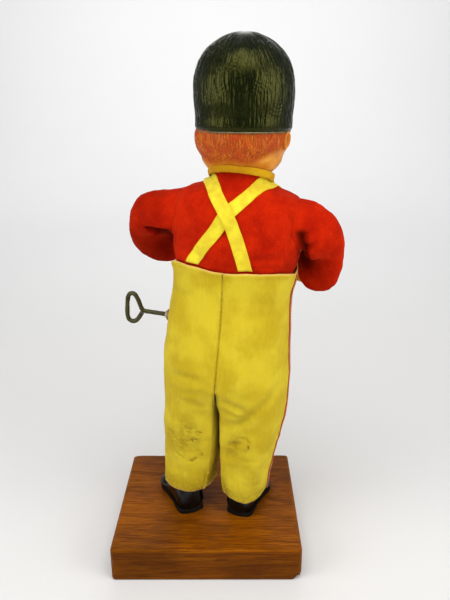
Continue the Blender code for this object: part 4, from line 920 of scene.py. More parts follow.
def dress_trousers(P, N, z, side, sign):
    """Wear, folds and seams of the trousers, with painted shade along the folds, seams and between the legs
    and a painted highlight on the hems. Returns the moved points and the marks for the material.
    """
    move = np.zeros_like(P)
    shade = np.zeros(P.shape[:-1])
    x, y = P[..., 0], P[..., 1]
    low = step(86, 70, z)
    soft = rough(P, (10, 10, 26), 3, 2 + sign) * (0.55 + 0.35 * low)
    ripples = rough(P, (3.6, 3.6, 15), 2, 6 + sign) * 0.20
    slack = rough(P, (16, 12, 7), 2, 12 + sign) * 0.5 * step(62, 50, z) * step(12, 26, z)
    move += N * (soft + ripples + slack)[..., None]
    if side == "left":
        folds = [
            ([(1.7, 22, 82.2), (8, 23, 80), (15, 21, 78.6), (23, 17, 77.6), (29, 12, 76.5)], 1.5, 1.7),
            ([(3, 24, 86), (12, 25, 88), (22, 21, 87), (30, 12, 84)], 0.7, 2.2),
            ([(2, 21, 73), (9, 22, 71), (18, 19.5, 73)], 0.5, 1.5),
            ([(31, 4, 52), (25, 11, 50.5), (16, 17, 53.5), (7, 16, 56)], 1.0, 1.4),
            ([(30, 6, 46), (22, 13.5, 44.5), (12, 16.5, 48)], 0.7, 1.3),
            ([(29, 8, 36), (20, 14.5, 34.5), (9, 14.5, 36.5)], 0.5, 1.4),
            ([(33, 0, 96), (24, 19, 93), (12, 25, 94)], 0.45, 2.2),
        ]
    else:
        folds = [
            ([(-1, 24, 79), (-6, 23, 76.8), (-13, 22, 74), (-18, 20, 70.5)], 1.0, 1.9),
            ([(-5, 19, 61), (-11, 20, 63.5), (-16, 20, 67.5), (-23, 18, 77), (-31, 12, 90)], 1.0, 2.4),
            ([(-3, 22, 70), (-11, 21.5, 68), (-19, 19.5, 70)], 0.45, 1.5),
            ([(-29, 6, 55), (-22, 14, 52.5), (-11, 17.5, 50), (-5, 15.5, 49)], 0.8, 1.4),
            ([(-28, 8, 44), (-20, 14.5, 41), (-10, 15.5, 42)], 0.6, 1.4),
            ([(-28, 8, 31), (-18, 14.5, 29), (-8, 14, 31)], 0.5, 1.3),
            ([(-30, 10, 128), (-22, 20, 124), (-12, 23, 125)], 0.35, 2.0),
        ]
    folds.append(([(sign * 30, 10, 131), (sign * 24, 18, 129), (sign * 14, 22.5, 131)], 0.4, 2.0))
    folds.append(([(sign * 24, -16, 80), (sign * 12, -22, 74), (sign * 4, -20, 70)], 0.8, 1.6))
    folds.append(([(sign * 28, -8, 52), (sign * 17, -16, 49), (sign * 6, -14, 52)], 0.7, 1.5))
    folds.append(([(sign * 26, -10, 34), (sign * 16, -13, 31), (sign * 8, -11, 34)], 0.5, 1.4))
    for line, depth, width in folds:
        shift, mark = crease(P, N, line, 1.25 * depth, width)
        move += shift
        shade = np.maximum(shade, mark * min(0.5, 0.30 * depth))
    puff = bell(z - 92, 9) * bell(np.abs(x) - 15, 11) * step(8, 20, y)
    move += N * (puff * 0.5)[..., None]
    seam = bell(x - 0.4, 0.45) * step(6, 16, y) * step(80, 84, z)
    pull = bell(x - 0.4, 3.2) * step(6, 16, y) * step(80, 84, z)
    pucker = np.sin(z * tau / 2.7 + 2.0 * np.sin(z * 0.31)) * step(144, 138, z)
    move += N * (-0.55 * seam - 0.22 * pull + 0.13 * pull * pucker * (1 - seam))[..., None]
    shade = np.maximum(shade, seam * 0.45 * (0.6 + 0.4 * pucker))
    front_seam = bell(x, 0.5) * step(-6, -16, y) * step(78, 82, z)
    move += N * (-0.45 * front_seam)[..., None]
    shade = np.maximum(shade, front_seam * 0.4)
    side_seam = bell(y - (-3.5 if sign > 0 else -1.0), 0.6) * step(26, 29, np.abs(x))
    move += N * (-0.2 * side_seam)[..., None]
    top = waist_height(x, y)
    below = top - z
    stitch = bell(below - 2.5, 0.32)
    dash = 0.5 + 0.5 * np.sin((x * np.abs(N[..., 1]) + y * np.abs(N[..., 0])) * tau / 1.5)
    move += N * (0.30 * step(2.6, 2.2, below) - 0.32 * stitch * (0.6 + 0.4 * dash))[..., None]
    # painted highlight along the top edge of the waistband
    edge = step(0.75, 0.25, below)
    shade = np.maximum(shade, stitch * 0.25)
    outer_angle = np.arctan2(y - 2.4, sign * x - 16.8)
    hem = curve(HEM[side], outer_angle)[..., 0]
    above = z - hem
    hem_line = bell(above - 4.2, 0.35)
    in_leg = step(40, 30, z)
    move += N * (
        in_leg * (0.26 * step(4.2, 3.8, above) - 0.34 * hem_line * (0.55 + 0.45 * np.sin(outer_angle * 62)))
    )[..., None]
    # painted highlight along the leg hems
    edge = np.maximum(edge, in_leg * step(0.7, 0.2, above))
    shade = np.maximum(shade, in_leg * hem_line * 0.22)
    soil = np.zeros_like(shade)
    spots = (
        [
            ((23, 13, 50), 5.0, 1.0), ((15, 17, 54), 5.5, 0.9), ((20, 15, 45), 6.5, 0.75),
            ((28, 8, 52), 4.0, 0.9), ((11, 17, 49), 4.0, 0.7), ((22, 14, 38), 6.0, 0.4),
        ]
        if side == "left"
        else [
            ((-10, 17, 50), 3.2, 1.0), ((-12, 17, 54), 2.2, 0.8), ((-9, 17, 45), 3.0, 0.7),
            ((-22, 14, 30), 5.0, 0.35),
        ]
    )
    for spot, size, strength in spots:
        soil = np.maximum(soil, 0.72 * strength * bell(np.linalg.norm(P - spot, axis=-1), size))
    tears = (
        [
            ([(20, 16, 46.3), (15.5, 17, 46.6), (11.3, 17, 48.2), (7, 17, 50.6)], 0.55),
            ([(22.4, 14, 38.4), (19.7, 15, 35.6), (17.0, 16, 35.0)], 0.6),
            ([(15.2, 16, 33.6), (12.6, 16, 34.4), (9.6, 16, 37.0)], 0.8),
            ([(9.0, 16, 38.6), (6.4, 16, 39.4)], 0.9),
            ([(13.6, 17, 52.0), (9.6, 17, 54.0), (6.6, 17, 53.6)], 0.5),
            ([(10.0, 17, 41.6), (7.0, 16.5, 40.2)], 0.7),
        ]
        if side == "left"
        else [
            (
                [
                    (-12.8, 17, 54.2), (-16.2, 17, 55.0), (-18.4, 16.5, 52.1), (-17.6, 17, 49.0),
                    (-16.0, 17, 46.6),
                ],
                0.9,
            )
        ]
    )
    for line, size in tears:
        shift, mark = crease(P * (1, 0, 1), N, [(a, 0, c) for a, _, c in line], 0.5, size, 0.6)
        behind = step(2, 6, P[..., 1])
        move += shift * behind[..., None]
        soil = np.maximum(soil, 1.25 * mark * behind * (0.8 + 0.9 * rough(P, 1.6, 2, 8)))
    # darker, in patches, towards the bottom of each leg, over the 12 mm above the hem
    soil = np.maximum(soil, 0.35 * in_leg * step(12, 2, above))
    soil = np.maximum(soil, 0.28 * bell(z - 112, 10) * bell(y + 2, 9) * (sign > 0))
    between = step(2.6, 0.4, np.abs(x)) * step(84, 79, z) * step(16, 40, z)
    shade = np.maximum(shade, between * 0.6)
    return P + move, {"shade": shade, "soil": soil, "edge": edge}


def make_trousers():
    panels = []
    for side, sign in (("left", 1), ("right", -1)):
        outer, inner, start = half_trousers(side, sign)
        N = grid_normals(outer, False)
        N *= np.sign(np.sum(N * outer * (1, 1, 0), axis=2, keepdims=True).mean())
        centre = np.array([sign * 17.0, 0.5, 0]) * step(90, 70, outer[..., 2:3])
        facing = np.sign(np.sum(N * ((outer - centre) * (1, 1, 0)), axis=2, keepdims=True))
        N *= np.where(facing == 0, 1, facing)
        done, marks = dress_trousers(outer, N, outer[..., 2], side, sign)
        N2 = grid_normals(inner, False)
        middle = np.array([sign * 17.0, 0.5, 0])
        facing = np.sign(np.sum(N2 * ((inner - middle) * (1, 1, 0)), axis=2, keepdims=True))
        N2 *= np.where(facing == 0, 1, facing)
        done2, marks2 = dress_trousers(inner, N2, inner[..., 2], side, sign)
        for grid in (done, done2):
            grid[..., 0] = sign * np.maximum(grid[..., 0] * sign, 0.35)
        done[: start + 1, 0, 0], done[: start + 1, -1, 0] = 0.4, 0.4
        done2[0, :, 0] = 0.4
        done2[:, 0], done2[:, -1] = done[start:, -1], done[start:, 0]
        panels.append((sign, done, marks, done2, marks2, start))
    verts, faces, uvs, marks = [], [], [], {"shade": [], "soil": [], "edge": []}
    for sign, outer, m1, inner, m2, start in panels:
        for grid, m, shift in ((outer, m1, 0), (inner, m2, 200)):
            first = len(verts)
            rows, cols = grid.shape[:2]
            quads, corner = grid_faces(rows, cols, False, first, flip=(sign < 0))
            verts.extend(grid.reshape(-1, 3).tolist())
            faces += quads
            span = 90.0 if shift == 0 else 30.0
            uvs += (
                np.array(corner) * (span / (cols - 1), 1.0) + (shift, 0 if shift == 0 else start)
            ).tolist()
            for key in marks:
                marks[key].append(np.asarray(m[key]).ravel())
    marks = {k: np.concatenate(v) for k, v in marks.items()}
    made = finish_mesh("cotton_trousers", np.array(verts), faces, COTTON, uvs=uvs, marks=marks)
    thick = made.modifiers.new("Solidify", "SOLIDIFY")
    thick.thickness, thick.offset = 0.65 * MM, -1
    applied(made)
    ring = turned_grid([(3.55, 0), (3.55, 20)], 40)
    along_x = Matrix.Rotation(pi / 2, 4, "Y")
    hole = skin(
        "tool_key", ring, COTTON, caps=(True, True),
        matrix=FIGURE @ Matrix.Translation((22 * MM, 0, KEY_Z * MM)) @ along_x,
    )
    slit = box_tool("tool_slit", (5.0, 6.0, 1.4), (0, -26, 105.0))
    for tool in (hole, slit):
        cut = made.modifiers.new("Cut", "BOOLEAN")
        cut.operation, cut.object, cut.solver = "DIFFERENCE", tool, "FAST"
    applied(made)
    for tool in (hole, slit):
        bpy.data.objects.remove(tool)
    made.data.shade_smooth()
    on(made, "standing_figure", "trousers", slot="yellow_cotton")
    return made


def box_tool(name, half, at):
    x, y, z = half
    ring = np.array([(-x, -y), (x, -y), (x, y), (-x, y)])
    rows = np.stack([np.column_stack([ring, np.full(4, level)]) for level in (-z, z)]) + np.array(at)
    return skin(name, rows, COTTON, caps=(True, True))


# --- jacket -------------------------------------------------------------------------------------------
# Outside of the jacket: height, half width, half depth
JACKET = [
    (129, 28.9, 21.9),
    (137, 29.2, 22.2),
    (142, 29.8, 22.7),
    (146, 30.9, 23.6),
    (150, 31.6, 24.3),
    (160, 32.1, 24.7),
    (168, 32.2, 24.5),
    (173, 31.9, 23.5),
    (176.4, 30.4, 22.0),
    (179.4, 26.8, 19.7),
    (182.0, 19.6, 16.6),
    (184.2, 15.0, 14.5),
    (187.0, 14.0, 13.6),
    (190.0, 13.8, 13.4),
]


def jacket_width(y, z):
    """Half width of the jacket at that depth and height."""
    shape = curve(JACKET, z)
    ratio = np.clip(np.abs(y) / shape[..., 1], 0, 0.999)
    return shape[..., 0] * (1 - ratio**2.3) ** (1 / 2.3)


def make_jacket():
    z = np.concatenate([np.linspace(129, 176, 104), np.linspace(176, 190, 52)[1:]])
    angle = np.linspace(0, tau, 257)[:-1] - pi / 2
    shape = curve(JACKET, z)
    x, y = oval(shape[:, :1], shape[:, 1:2], angle[None, :])
    P = np.stack([x, y, np.repeat(z[:, None], len(angle), 1)], axis=2)
    N = grid_normals(P, True)
    N *= np.sign(np.sum(N[..., :2] * P[..., :2], axis=2).mean())
    behind = 0.5 + 0.5 * np.sin(angle)[None, :]
    rim = 190.4 - 6.6 * np.minimum(1, (1 - behind) * 1.56) - 0.3 * np.cos(angle)[None, :]
    P[..., 2] += (rim - 190) * step(183, 190, P[..., 2])
    move = rough(P, (13, 13, 15), 3, 3) * 0.75 * step(141, 150, P[..., 2]) * step(189, 178, P[..., 2])
    move += rough(P, (4.5, 4.5, 6), 2, 5) * 0.16
    shade = np.zeros(P.shape[:-1])
    for line, depth, width in (
        ([(27, 13, 176), (29, 12.6, 165), (28, 14, 154)], 0.4, 1.6),
        ([(-27, 13, 176), (-29, 12.6, 165), (-28, 14, 152)], 0.4, 1.6),
        ([(28, 15, 151), (18, 22, 152.5), (9, 24, 150)], 0.45, 1.6),
        ([(-28, 15, 154), (-19, 22, 151.5), (-8, 24, 153)], 0.45, 1.8),
        ([(-26, 17, 148), (-16, 23, 148.5)], 0.3, 1.3),
        ([(20, -21, 150), (8, -24, 152), (-6, -24, 150)], 0.4, 1.7),
        ([(22, -17, 172), (12, -23, 160)], 0.35, 2.0),
        ([(-22, -17, 172), (-12, -23, 160)], 0.35, 2.0),
    ):
        shift, mark = crease(P, N, line, depth, width)
        P = P + shift
        shade = np.maximum(shade, mark * 0.2)
    opening = bell(P[..., 0], 0.5) * step(-4, -10, P[..., 1])
    P = P + N * (move - 0.5 * opening)[..., None]
    shade = np.maximum(shade, opening * 0.5)
    shade = np.maximum(shade, 0.30 * bell(P[..., 2] - waist_height(P[..., 0], P[..., 1]), 0.9))
    sides = step(24, 30, np.abs(P[..., 0])) * step(160, 150, P[..., 2])
    shade = np.maximum(shade, sides * 0.25)
    made = cloth("felt_jacket", P, 1.0, FELT, marks={"shade": shade})
    on(made, "standing_figure", "jacket", slot="red_felt")
    buttons = []
    for height in (152, 160, 168, 176):
        width = curve(JACKET, np.array([height]))[0]
        spot = Vector((0, -width[1] - 0.1, height))
        rise = curve(JACKET, np.array([height + 1.0]))[0, 1] - width[1]
        dome = turned_grid([(1.9, -0.3), (2.0, 0.0), (1.9, 0.3), (1.5, 0.75), (0.8, 1.05), (0.1, 1.15)], 32)
        turn = Matrix.Translation(spot * MM) @ Vector(
            (0, -1, -rise)
        ).to_track_quat("Z", "Y").to_matrix().to_4x4()
        buttons.append(skin(f"button_{height}", dome, BRASS, caps=(True, True), matrix=FIGURE @ turn))
    for button in buttons:
        button.data.transform(FIGURE.inverted() @ button.matrix_world)
        button.matrix_world = FIGURE
    row = merged("jacket_buttons", buttons)
    on(row, "standing_figure", slot="brass")
    return made


# --- sleeves ------------------------------------------------------------------------------------------
SLEEVE_FOLD = np.array((31.2, -14.0, 0.0))
# Fan angle, half width, lowest, highest
SLEEVES = {
    "left": [
        (20, 12.4, 151.5, 176.2),
        (38, 13.6, 151.5, 175.6),
        (50, 14.4, 148.6, 174.8),
        (62, 14.6, 141.6, 173.4),
        (74, 13.9, 137.2, 170.6),
        (90, 11.8, 135.2, 164.0),
    ],
    "right": [
        (20, 12.0, 149.0, 178.0),
        (38, 12.2, 150.0, 175.6),
        (50, 12.2, 146.5, 173.4),
        (62, 11.8, 136.5, 170.0),
        (74, 10.8, 131.5, 166.0),
        (90, 9.2, 129.6, 158.4),
    ],
}
# The mouth: centre, fan angle, half width, half height, how far its top leans forward
SLEEVE_MOUTHS = {
    "left": ((39.0, -20.8, 147.0), 112, 7.8, 9.8, 0.1),
    "right": ((36.0, -19.5, 142.0), 114, 7.4, 8.8, 0.4),
}


def sleeve_ring(centre, fan, wide, tall, lean, angle):
    """A ring that stands across the sleeve at that angle of the fan."""
    out = np.array((sin(fan), cos(fan), 0))
    rise = np.array((cos(fan) * lean, -sin(fan) * lean, 1.0))
    rise /= np.linalg.norm(rise)
    across, up = oval(wide, tall, angle, 2.4)
    return np.array(centre) + np.outer(across, out) + np.outer(up, rise)


def make_sleeves():
    angle = np.linspace(0, tau, 129)[:-1]
    for side, sign in (("left", 1), ("right", -1)):
        y, z = 12.4 * np.cos(angle), SHOULDER_Z + 12.4 * np.sin(angle)
        x = jacket_width(y, z)
        rings = [np.stack([x - 1.5, y, z], axis=1), np.stack([x + 0.5, y, z], axis=1)]
        for degrees, wide, low, high in SLEEVES[side]:
            fan = radians(degrees)
            clear = 0.8 if degrees < 80 else -0.4
            centre = SLEEVE_FOLD + np.array((sin(fan), cos(fan), 0)) * (wide + clear)
            centre[2] = (low + high) / 2
            rings.append(sleeve_ring(centre, fan, wide, (high - low) / 2, 0, angle))
        centre, degrees, wide, tall, lean = SLEEVE_MOUTHS[side]
        rings.append(sleeve_ring(centre, radians(degrees), wide, tall, lean, angle))
        P = spline(rings, 11)
        P[..., 0] = np.maximum(
            P[..., 0], jacket_width(P[..., 1], P[..., 2]) * step(10, 14, np.arange(len(P)))[:, None],
        )
        N = grid_normals(P, True)
        middle = P.mean(1, keepdims=True)
        N *= np.sign(np.sum(N * (P - middle)))
        soft = rough(P, (9, 9, 9), 3, 8 + sign) * 0.55 + rough(P, (3.5, 3.5, 5), 2, 4 + sign) * 0.18
        P = P + N * (soft * step(2, 16, np.arange(len(P)))[:, None])[..., None]
        if side == "left":
            lines = [
                ([(31.5, 8, 153), (36, 7, 155.5), (41, 6, 157), (47, 3, 158.2)], 2.8, 2.2),
                ([(32, 10, 168), (38, 9.5, 169.5), (43, 8, 169)], 0.6, 1.6),
                ([(48, -3, 155), (42, 2, 152), (36, -2, 150)], 0.9, 1.8),
            ]
        else:
            lines = [
                ([(30.5, 9, 150), (34, 9, 154.5), (38, 7.5, 159.5), (42, 5.5, 162)], 2.6, 1.9),
                ([(33, 10.5, 160), (36, 9.8, 164), (38, 9, 167)], 0.7, 1.4),
                ([(47, -2, 150), (42, 1, 144), (37, -2, 140)], 0.9, 1.8),
            ]
        shade = np.zeros(P.shape[:-1])
        X, Y, Z = P[..., 0], P[..., 1], P[..., 2]
        if side == "left":
            middle_z, half = 157.6 - (46.5 - X) * 0.42, 0.5 + (46.5 - X) * 0.40
            hollow = step(
                1.25, 0.55, np.abs(Z - middle_z) / np.maximum(half, 0.3),
            ) * step(47, 45, X) * step(-3, 1, Y)
        else:
            hollow = step(
                38.2, 34.6, X + 0.10 * (Z - 154),
            ) * step(139, 144, Z) * step(167, 163, Z) * step(-5, 0, Y)
        hollow = hollow * step(9, 16, np.arange(len(P)))[:, None]
        P = P - N * (3.0 * hollow)[..., None]
        shade = np.maximum(shade, 0.92 * hollow)
        if side == "left":
            shade = np.maximum(shade, (0.24 + 0.30 * step(158, 144, Z)) * step(34, 40, X))
            clear = np.maximum(0, 34.6 - P[..., 0]) * step(151, 146, Z) * step(
                8, 16, np.arange(len(P)),
            )[:, None]
            P[..., 0] += clear
        for line, depth, width in lines:
            shift, mark = crease(P, N, line, depth, width, 0.2)
            P = P + shift
            shade = np.maximum(shade, mark * min(0.8, depth * 0.28))
        crook_x, crook_z = (34, 151) if side == "left" else (33, 147)
        crook = np.exp(-((P[..., 0] - crook_x) / 6.5) ** 2 - ((P[..., 2] - crook_z) / 7.5) ** 2)
        shade = np.maximum(shade, 0.85 * crook * step(10, 2, P[..., 1]))
        shade[:14] = np.maximum(
            shade[:14], (0.55 * step(14, 4, np.arange(14)))[:, None] * step(170, 158, P[:14, :, 2]),
        )
        P[..., 0] *= sign
        made = cloth(f"felt_sleeve_{side}", P, 1.0, FELT, marks={"shade": np.clip(shade, 0, 1)})
        on(made, f"arm_{side}_body", f"sleeve_{side}", slot="red_felt")
        make_cuff(side, sign, angle)


def make_cuff(side, sign, angle):
    centre, degrees, wide, tall, lean = SLEEVE_MOUTHS[side]
    fan = radians(degrees)
    ahead = np.array((cos(fan), -sin(fan), -lean))
    ahead /= np.linalg.norm(ahead)
    rings = []
    for forward, share in ((-3.0, 0.80), (0.2, 0.84), (2.0, 0.93), (5.0, 0.97), (8.2, 1.0), (8.9, 1.02)):
        rings.append(
            sleeve_ring(np.array(centre) + ahead * forward, fan, wide * share, tall * share, lean, angle)
        )
    P = spline(rings, 7)
    N = grid_normals(P, True)
    N *= np.sign(np.sum(N * (P - P.mean(1, keepdims=True))))
    row = np.arange(len(P))[:, None] / (len(P) - 1)
    pleat = np.sin(angle * 22)[None, :] * 0.10 * step(0.9, 0.4, row)
    P = P + N * (rough(P, 4, 2, 7) * 0.2 + pleat - 0.25 * bell(row - 0.84, 0.02))[..., None]
    P[..., 0] *= sign
    made = cloth(
        f"cuff_{side}_cotton", P, 0.7, COLLAR, marks={"shade": 0.3 * (1 - row) + 0 * P[..., 0]},
        uv_size=(54, 13),
    )
    on(made, f"arm_{side}_body", f"cuff_{side}", slot="yellow_cotton")


# --- straps, collar, braid ----------------------------------------------------------------------------
def surface_of(*pieces):
    """A search tree over the outsides of pieces in the figure's frame."""
    verts, faces = [], []
    for piece in pieces:
        start = len(verts)
        to_figure = FIGURE.inverted() @ piece.matrix_world
        verts += [to_figure @ v.co / MM for v in piece.data.vertices]
        faces += [[start + k for k in p.vertices] for p in piece.data.polygons]
    return BVHTree.FromPolygons(verts, faces)


def laid_on(tree, points, normals, lift):
    """Each point moved along its normal to lie just over the surface."""
    out = []
    for p, n in zip(points.reshape(-1, 3), normals.reshape(-1, 3)):
        n = Vector(n).normalized()
        hit = tree.ray_cast(Vector(p) + n * 12, -n, 24)
        if hit[0] is None:
            near = tree.find_nearest(Vector(p))
            out.append(near[0] + n * lift)
        else:
            out.append(hit[0] + n * lift)
    return np.array(out).reshape(points.shape)


def band(name, path, normals, width, thick, lift, tree, look, cols=13, tuck=False):
    """A flat tape along path, laid on the surface."""
    path, normals = np.array(path, float), np.array(normals, float)
    normals /= np.linalg.norm(normals, axis=1, keepdims=True)
    along = np.gradient(path, axis=0)
    along /= np.linalg.norm(along, axis=1, keepdims=True)
    side = np.cross(normals, along)
    side /= np.linalg.norm(side, axis=1, keepdims=True)
    across = np.linspace(-width / 2, width / 2, cols)
    P = path[:, None] + side[:, None] * across[None, :, None]
    N = np.repeat(normals[:, None], cols, 1)
    P = laid_on(tree, P, N, 0.0)
    height = np.sum(P * N, axis=2)
    for _ in range(2):
        wide = np.pad(height, ((2, 2), (0, 0)), mode="edge")
        mean = (wide[:-4] + wide[1:-3] + wide[2:-2] + wide[3:-1] + wide[4:]) / 5
        height = np.maximum(height, mean) * 0.35 + mean * 0.65
        height = np.maximum(height, np.sum(P * N, axis=2))
    middle = height.mean(1, keepdims=True)
    height = np.maximum(height, 0.5 * height + 0.5 * middle)
    P = P + N * (height - np.sum(P * N, axis=2))[..., None] + N * lift
    edge = np.repeat(step(0.78, 1.0, np.abs(across) / (width / 2))[None], len(path), 0)
    length = np.linalg.norm(np.diff(path, axis=0), axis=1).sum()
    P = P + N * (0.06 * np.sin(np.linspace(0, length, len(path)) * 0.9)[:, None] * edge)[..., None]
    P = P + N * (edge * -0.08)[..., None]
    if tuck:
        rim = waist_height(P[..., 0], P[..., 1])
        P = P - N * (2.6 * step(rim + 2.0, rim - 0.6, P[..., 2]))[..., None]
    return cloth(name, P, thick, look, closed=False, uv_size=(width, length), marks={"edge": edge})


def jacket_spot(degrees, z):
    """A point of the jacket's outside and its normal there."""
    a, b = curve(JACKET, np.array([z]))[0]
    x, y = oval(a, b, radians(degrees))
    da, db = curve(JACKET, np.array([z + 0.5]))[0] - curve(JACKET, np.array([z - 0.5]))[0]
    out = np.array((cos(radians(degrees)) / a, sin(radians(degrees)) / b, 0))
    out /= np.linalg.norm(out)
    fall = -(da * abs(out[0]) + db * abs(out[1]))
    out = out + np.array((0, 0, fall))
    return np.array((x, y, z)), out / np.linalg.norm(out)


def make_straps(jacket):
    """Two tapes that cross on the back, go over the shoulders under the collar and down the front."""
    shoulder = [(76, 178.8), (61, 182.0), (40, 183.8), (12, 184.4), (-22, 184.0), (-44, 181.8), (-54, 176.8)]
    front = [(-57, 169), (-61, 160), (-62, 150), (-62, 141)]
    over = [(112, 138), (109.5, 144), (103.5, 154), (97, 163), (89.5, 171.3), *shoulder, *front]
    under = [(126, 139), (120.5, 146), (109.5, 155), (98.5, 163.6), (90.5, 171.3), *shoulder, *front]
    tree = surface_of(jacket)
    laid = None
    for name, sign, lift, route in (("under", -1, 0.08, under), ("over", 1, 0.2, over)):
        spots = spline(route, 16)
        path, normals = [], []
        for degrees, z in spots:
            point, out = jacket_spot(degrees, z)
            path.append(point * (sign, 1, 1))
            normals.append(out * (sign, 1, 1))
        normals = np.array(normals)
        for _ in range(2):
            wide = np.pad(normals, ((6, 6), (0, 0)), mode="edge")
            normals = sum(wide[k : k + len(normals)] for k in range(13)) / 13
        trees = tree if name == "under" else surface_of(jacket, laid)
        made = band(f"strap_{name}_tape", path, normals, 6.5, 0.5, 0.5 + lift, trees, TAPE, tuck=True)
        laid = made
        on(made, "standing_figure", f"strap_{name}", slot="yellow_tape")


def make_collar():
    """The band round the neck. It arches up at the back of the neck and dips towards the front."""
    angle = np.linspace(0, tau, 193)[:-1]
    back = 0.5 + 0.5 * np.sin(angle)
    low = 189.6 - 6.6 * np.minimum(1, (1 - back) * 1.56) - 0.3 * np.cos(angle)
    high = low + 3.4 + 1.5 * (1 - back)
    rows = []
    for share, grow in ((0, 0.9), (0.10, 1.2), (0.35, 1.25), (0.6, 1.2), (0.88, 1.05), (1.0, 0.7)):
        level = low + (high - low) * share
        rise = np.clip(level - 186, 0, 9)
        x, y = oval(14.7 + grow + 0.18 * rise, 13.9 + grow + 0.36 * rise, angle, 2.1)
        rows.append(np.stack([x, y, level], axis=1))
    P = spline(rows, 6)
    N = grid_normals(P, True)
    N *= np.sign(np.sum(N[..., :2] * P[..., :2]))
    P = P + N * (rough(P, (6, 6, 3), 2, 3) * 0.22)[..., None]
    row = np.linspace(0, 1, len(P))[:, None] + 0 * P[..., 0]
    P = P - N * (0.16 * (bell(row - 0.16, 0.03) + bell(row - 0.84, 0.03)))[..., None]
    shade = 0.35 * step(0.75, 1.0, row) + 0.25 * step(0.2, 0.0, row)
    made = cloth("collar_band", P, 0.8, COLLAR, marks={"shade": shade}, uv_size=(104, 4))
    on(made, "standing_figure", "collar", slot="yellow_cotton")


def make_braids(trousers):
    """A braid down the outside of each leg."""
    tree = surface_of(trousers)
    for side, sign, y in (("left", 1, -5.8), ("right", -1, 1.5)):
        z = np.linspace(141.5, 17.5, 150)
        rows, normals = [], []
        for height in z:
            if height > 78:
                a, b, shift = curve(TROUSER_TOP, np.array([height]))[0]
                centre = (0, 0)
            else:
                cx, a, cy, b = curve(TROUSER_LEG, np.array([height]))[0]
                centre, shift = (cx, cy), 0
            s = np.clip((y - centre[1]) / b, -0.9, 0.9)
            c = (1 - abs(s) ** 2.2) ** (1 / 2.2)
            rows.append((sign * (centre[0] + a * c) + shift, y, height))
            normals.append((sign * c, s, 0.0))
        made = band(f"braid_{side}", rows, normals, 2.6, 0.55, 0.62, tree, BRAID, cols=9)
        on(made, "standing_figure", f"side_stripe_{side}", slot="orange_braid")


trousers = make_trousers()
jacket = make_jacket()
make_sleeves()
make_straps(jacket)
make_collar()
make_braids(trousers)


# --- head and cap -------------------------------------------------------------------------------------
# Height, half width, half depth, shift to the back
HEAD_SHAPE = [
    (186.0, 12.6, 12.2, 0.2),
    (188.0, 13.6, 12.5, 0.1),
    (189.2, 15.2, 13.0, 0.0),
    (190.3, 16.6, 13.8, 0.0),
    (191.8, 17.8, 15.8, -0.3),
    (193.6, 18.8, 17.8, -0.8),
    (196.2, 19.2, 20.2, -1.4),
    (200.0, 21.1, 21.8, -1.3),
    (203.5, 21.8, 22.2, -0.9),
    (206.0, 21.9, 22.2, -0.7),
    (208.6, 21.2, 21.4, -0.4),
]
# Length along the wall from the lower edge, height, radius
CAP = [
    (0.0, 207.7, 22.0),
    (0.6, 208.1, 22.4),
    (6, 214.0, 22.9),
    (14, 222.0, 23.5),
    (21, 229.0, 23.5),
    (27, 235.0, 22.4),
    (32, 239.4, 20.5),
    (37, 243.4, 17.5),
    (42, 246.6, 13.6),
    (47, 249.2, 8.9),
    (51, 250.5, 4.6),
    (55.5, 251.0, 0.25),
]


def looped(angle, along, scale, octaves, seed):
    """Noise on a wall that closes on itself: waves of that size round it and along it."""
    P = np.stack(
        [
            np.cos(angle) * 22 / scale[0] + 0 * along, np.sin(angle) * 22 / scale[0] + 0 * along,
            along / scale[1] + 0 * angle,
        ],
        axis=-1,
    )
    return rough(P, 1.0, octaves, seed)


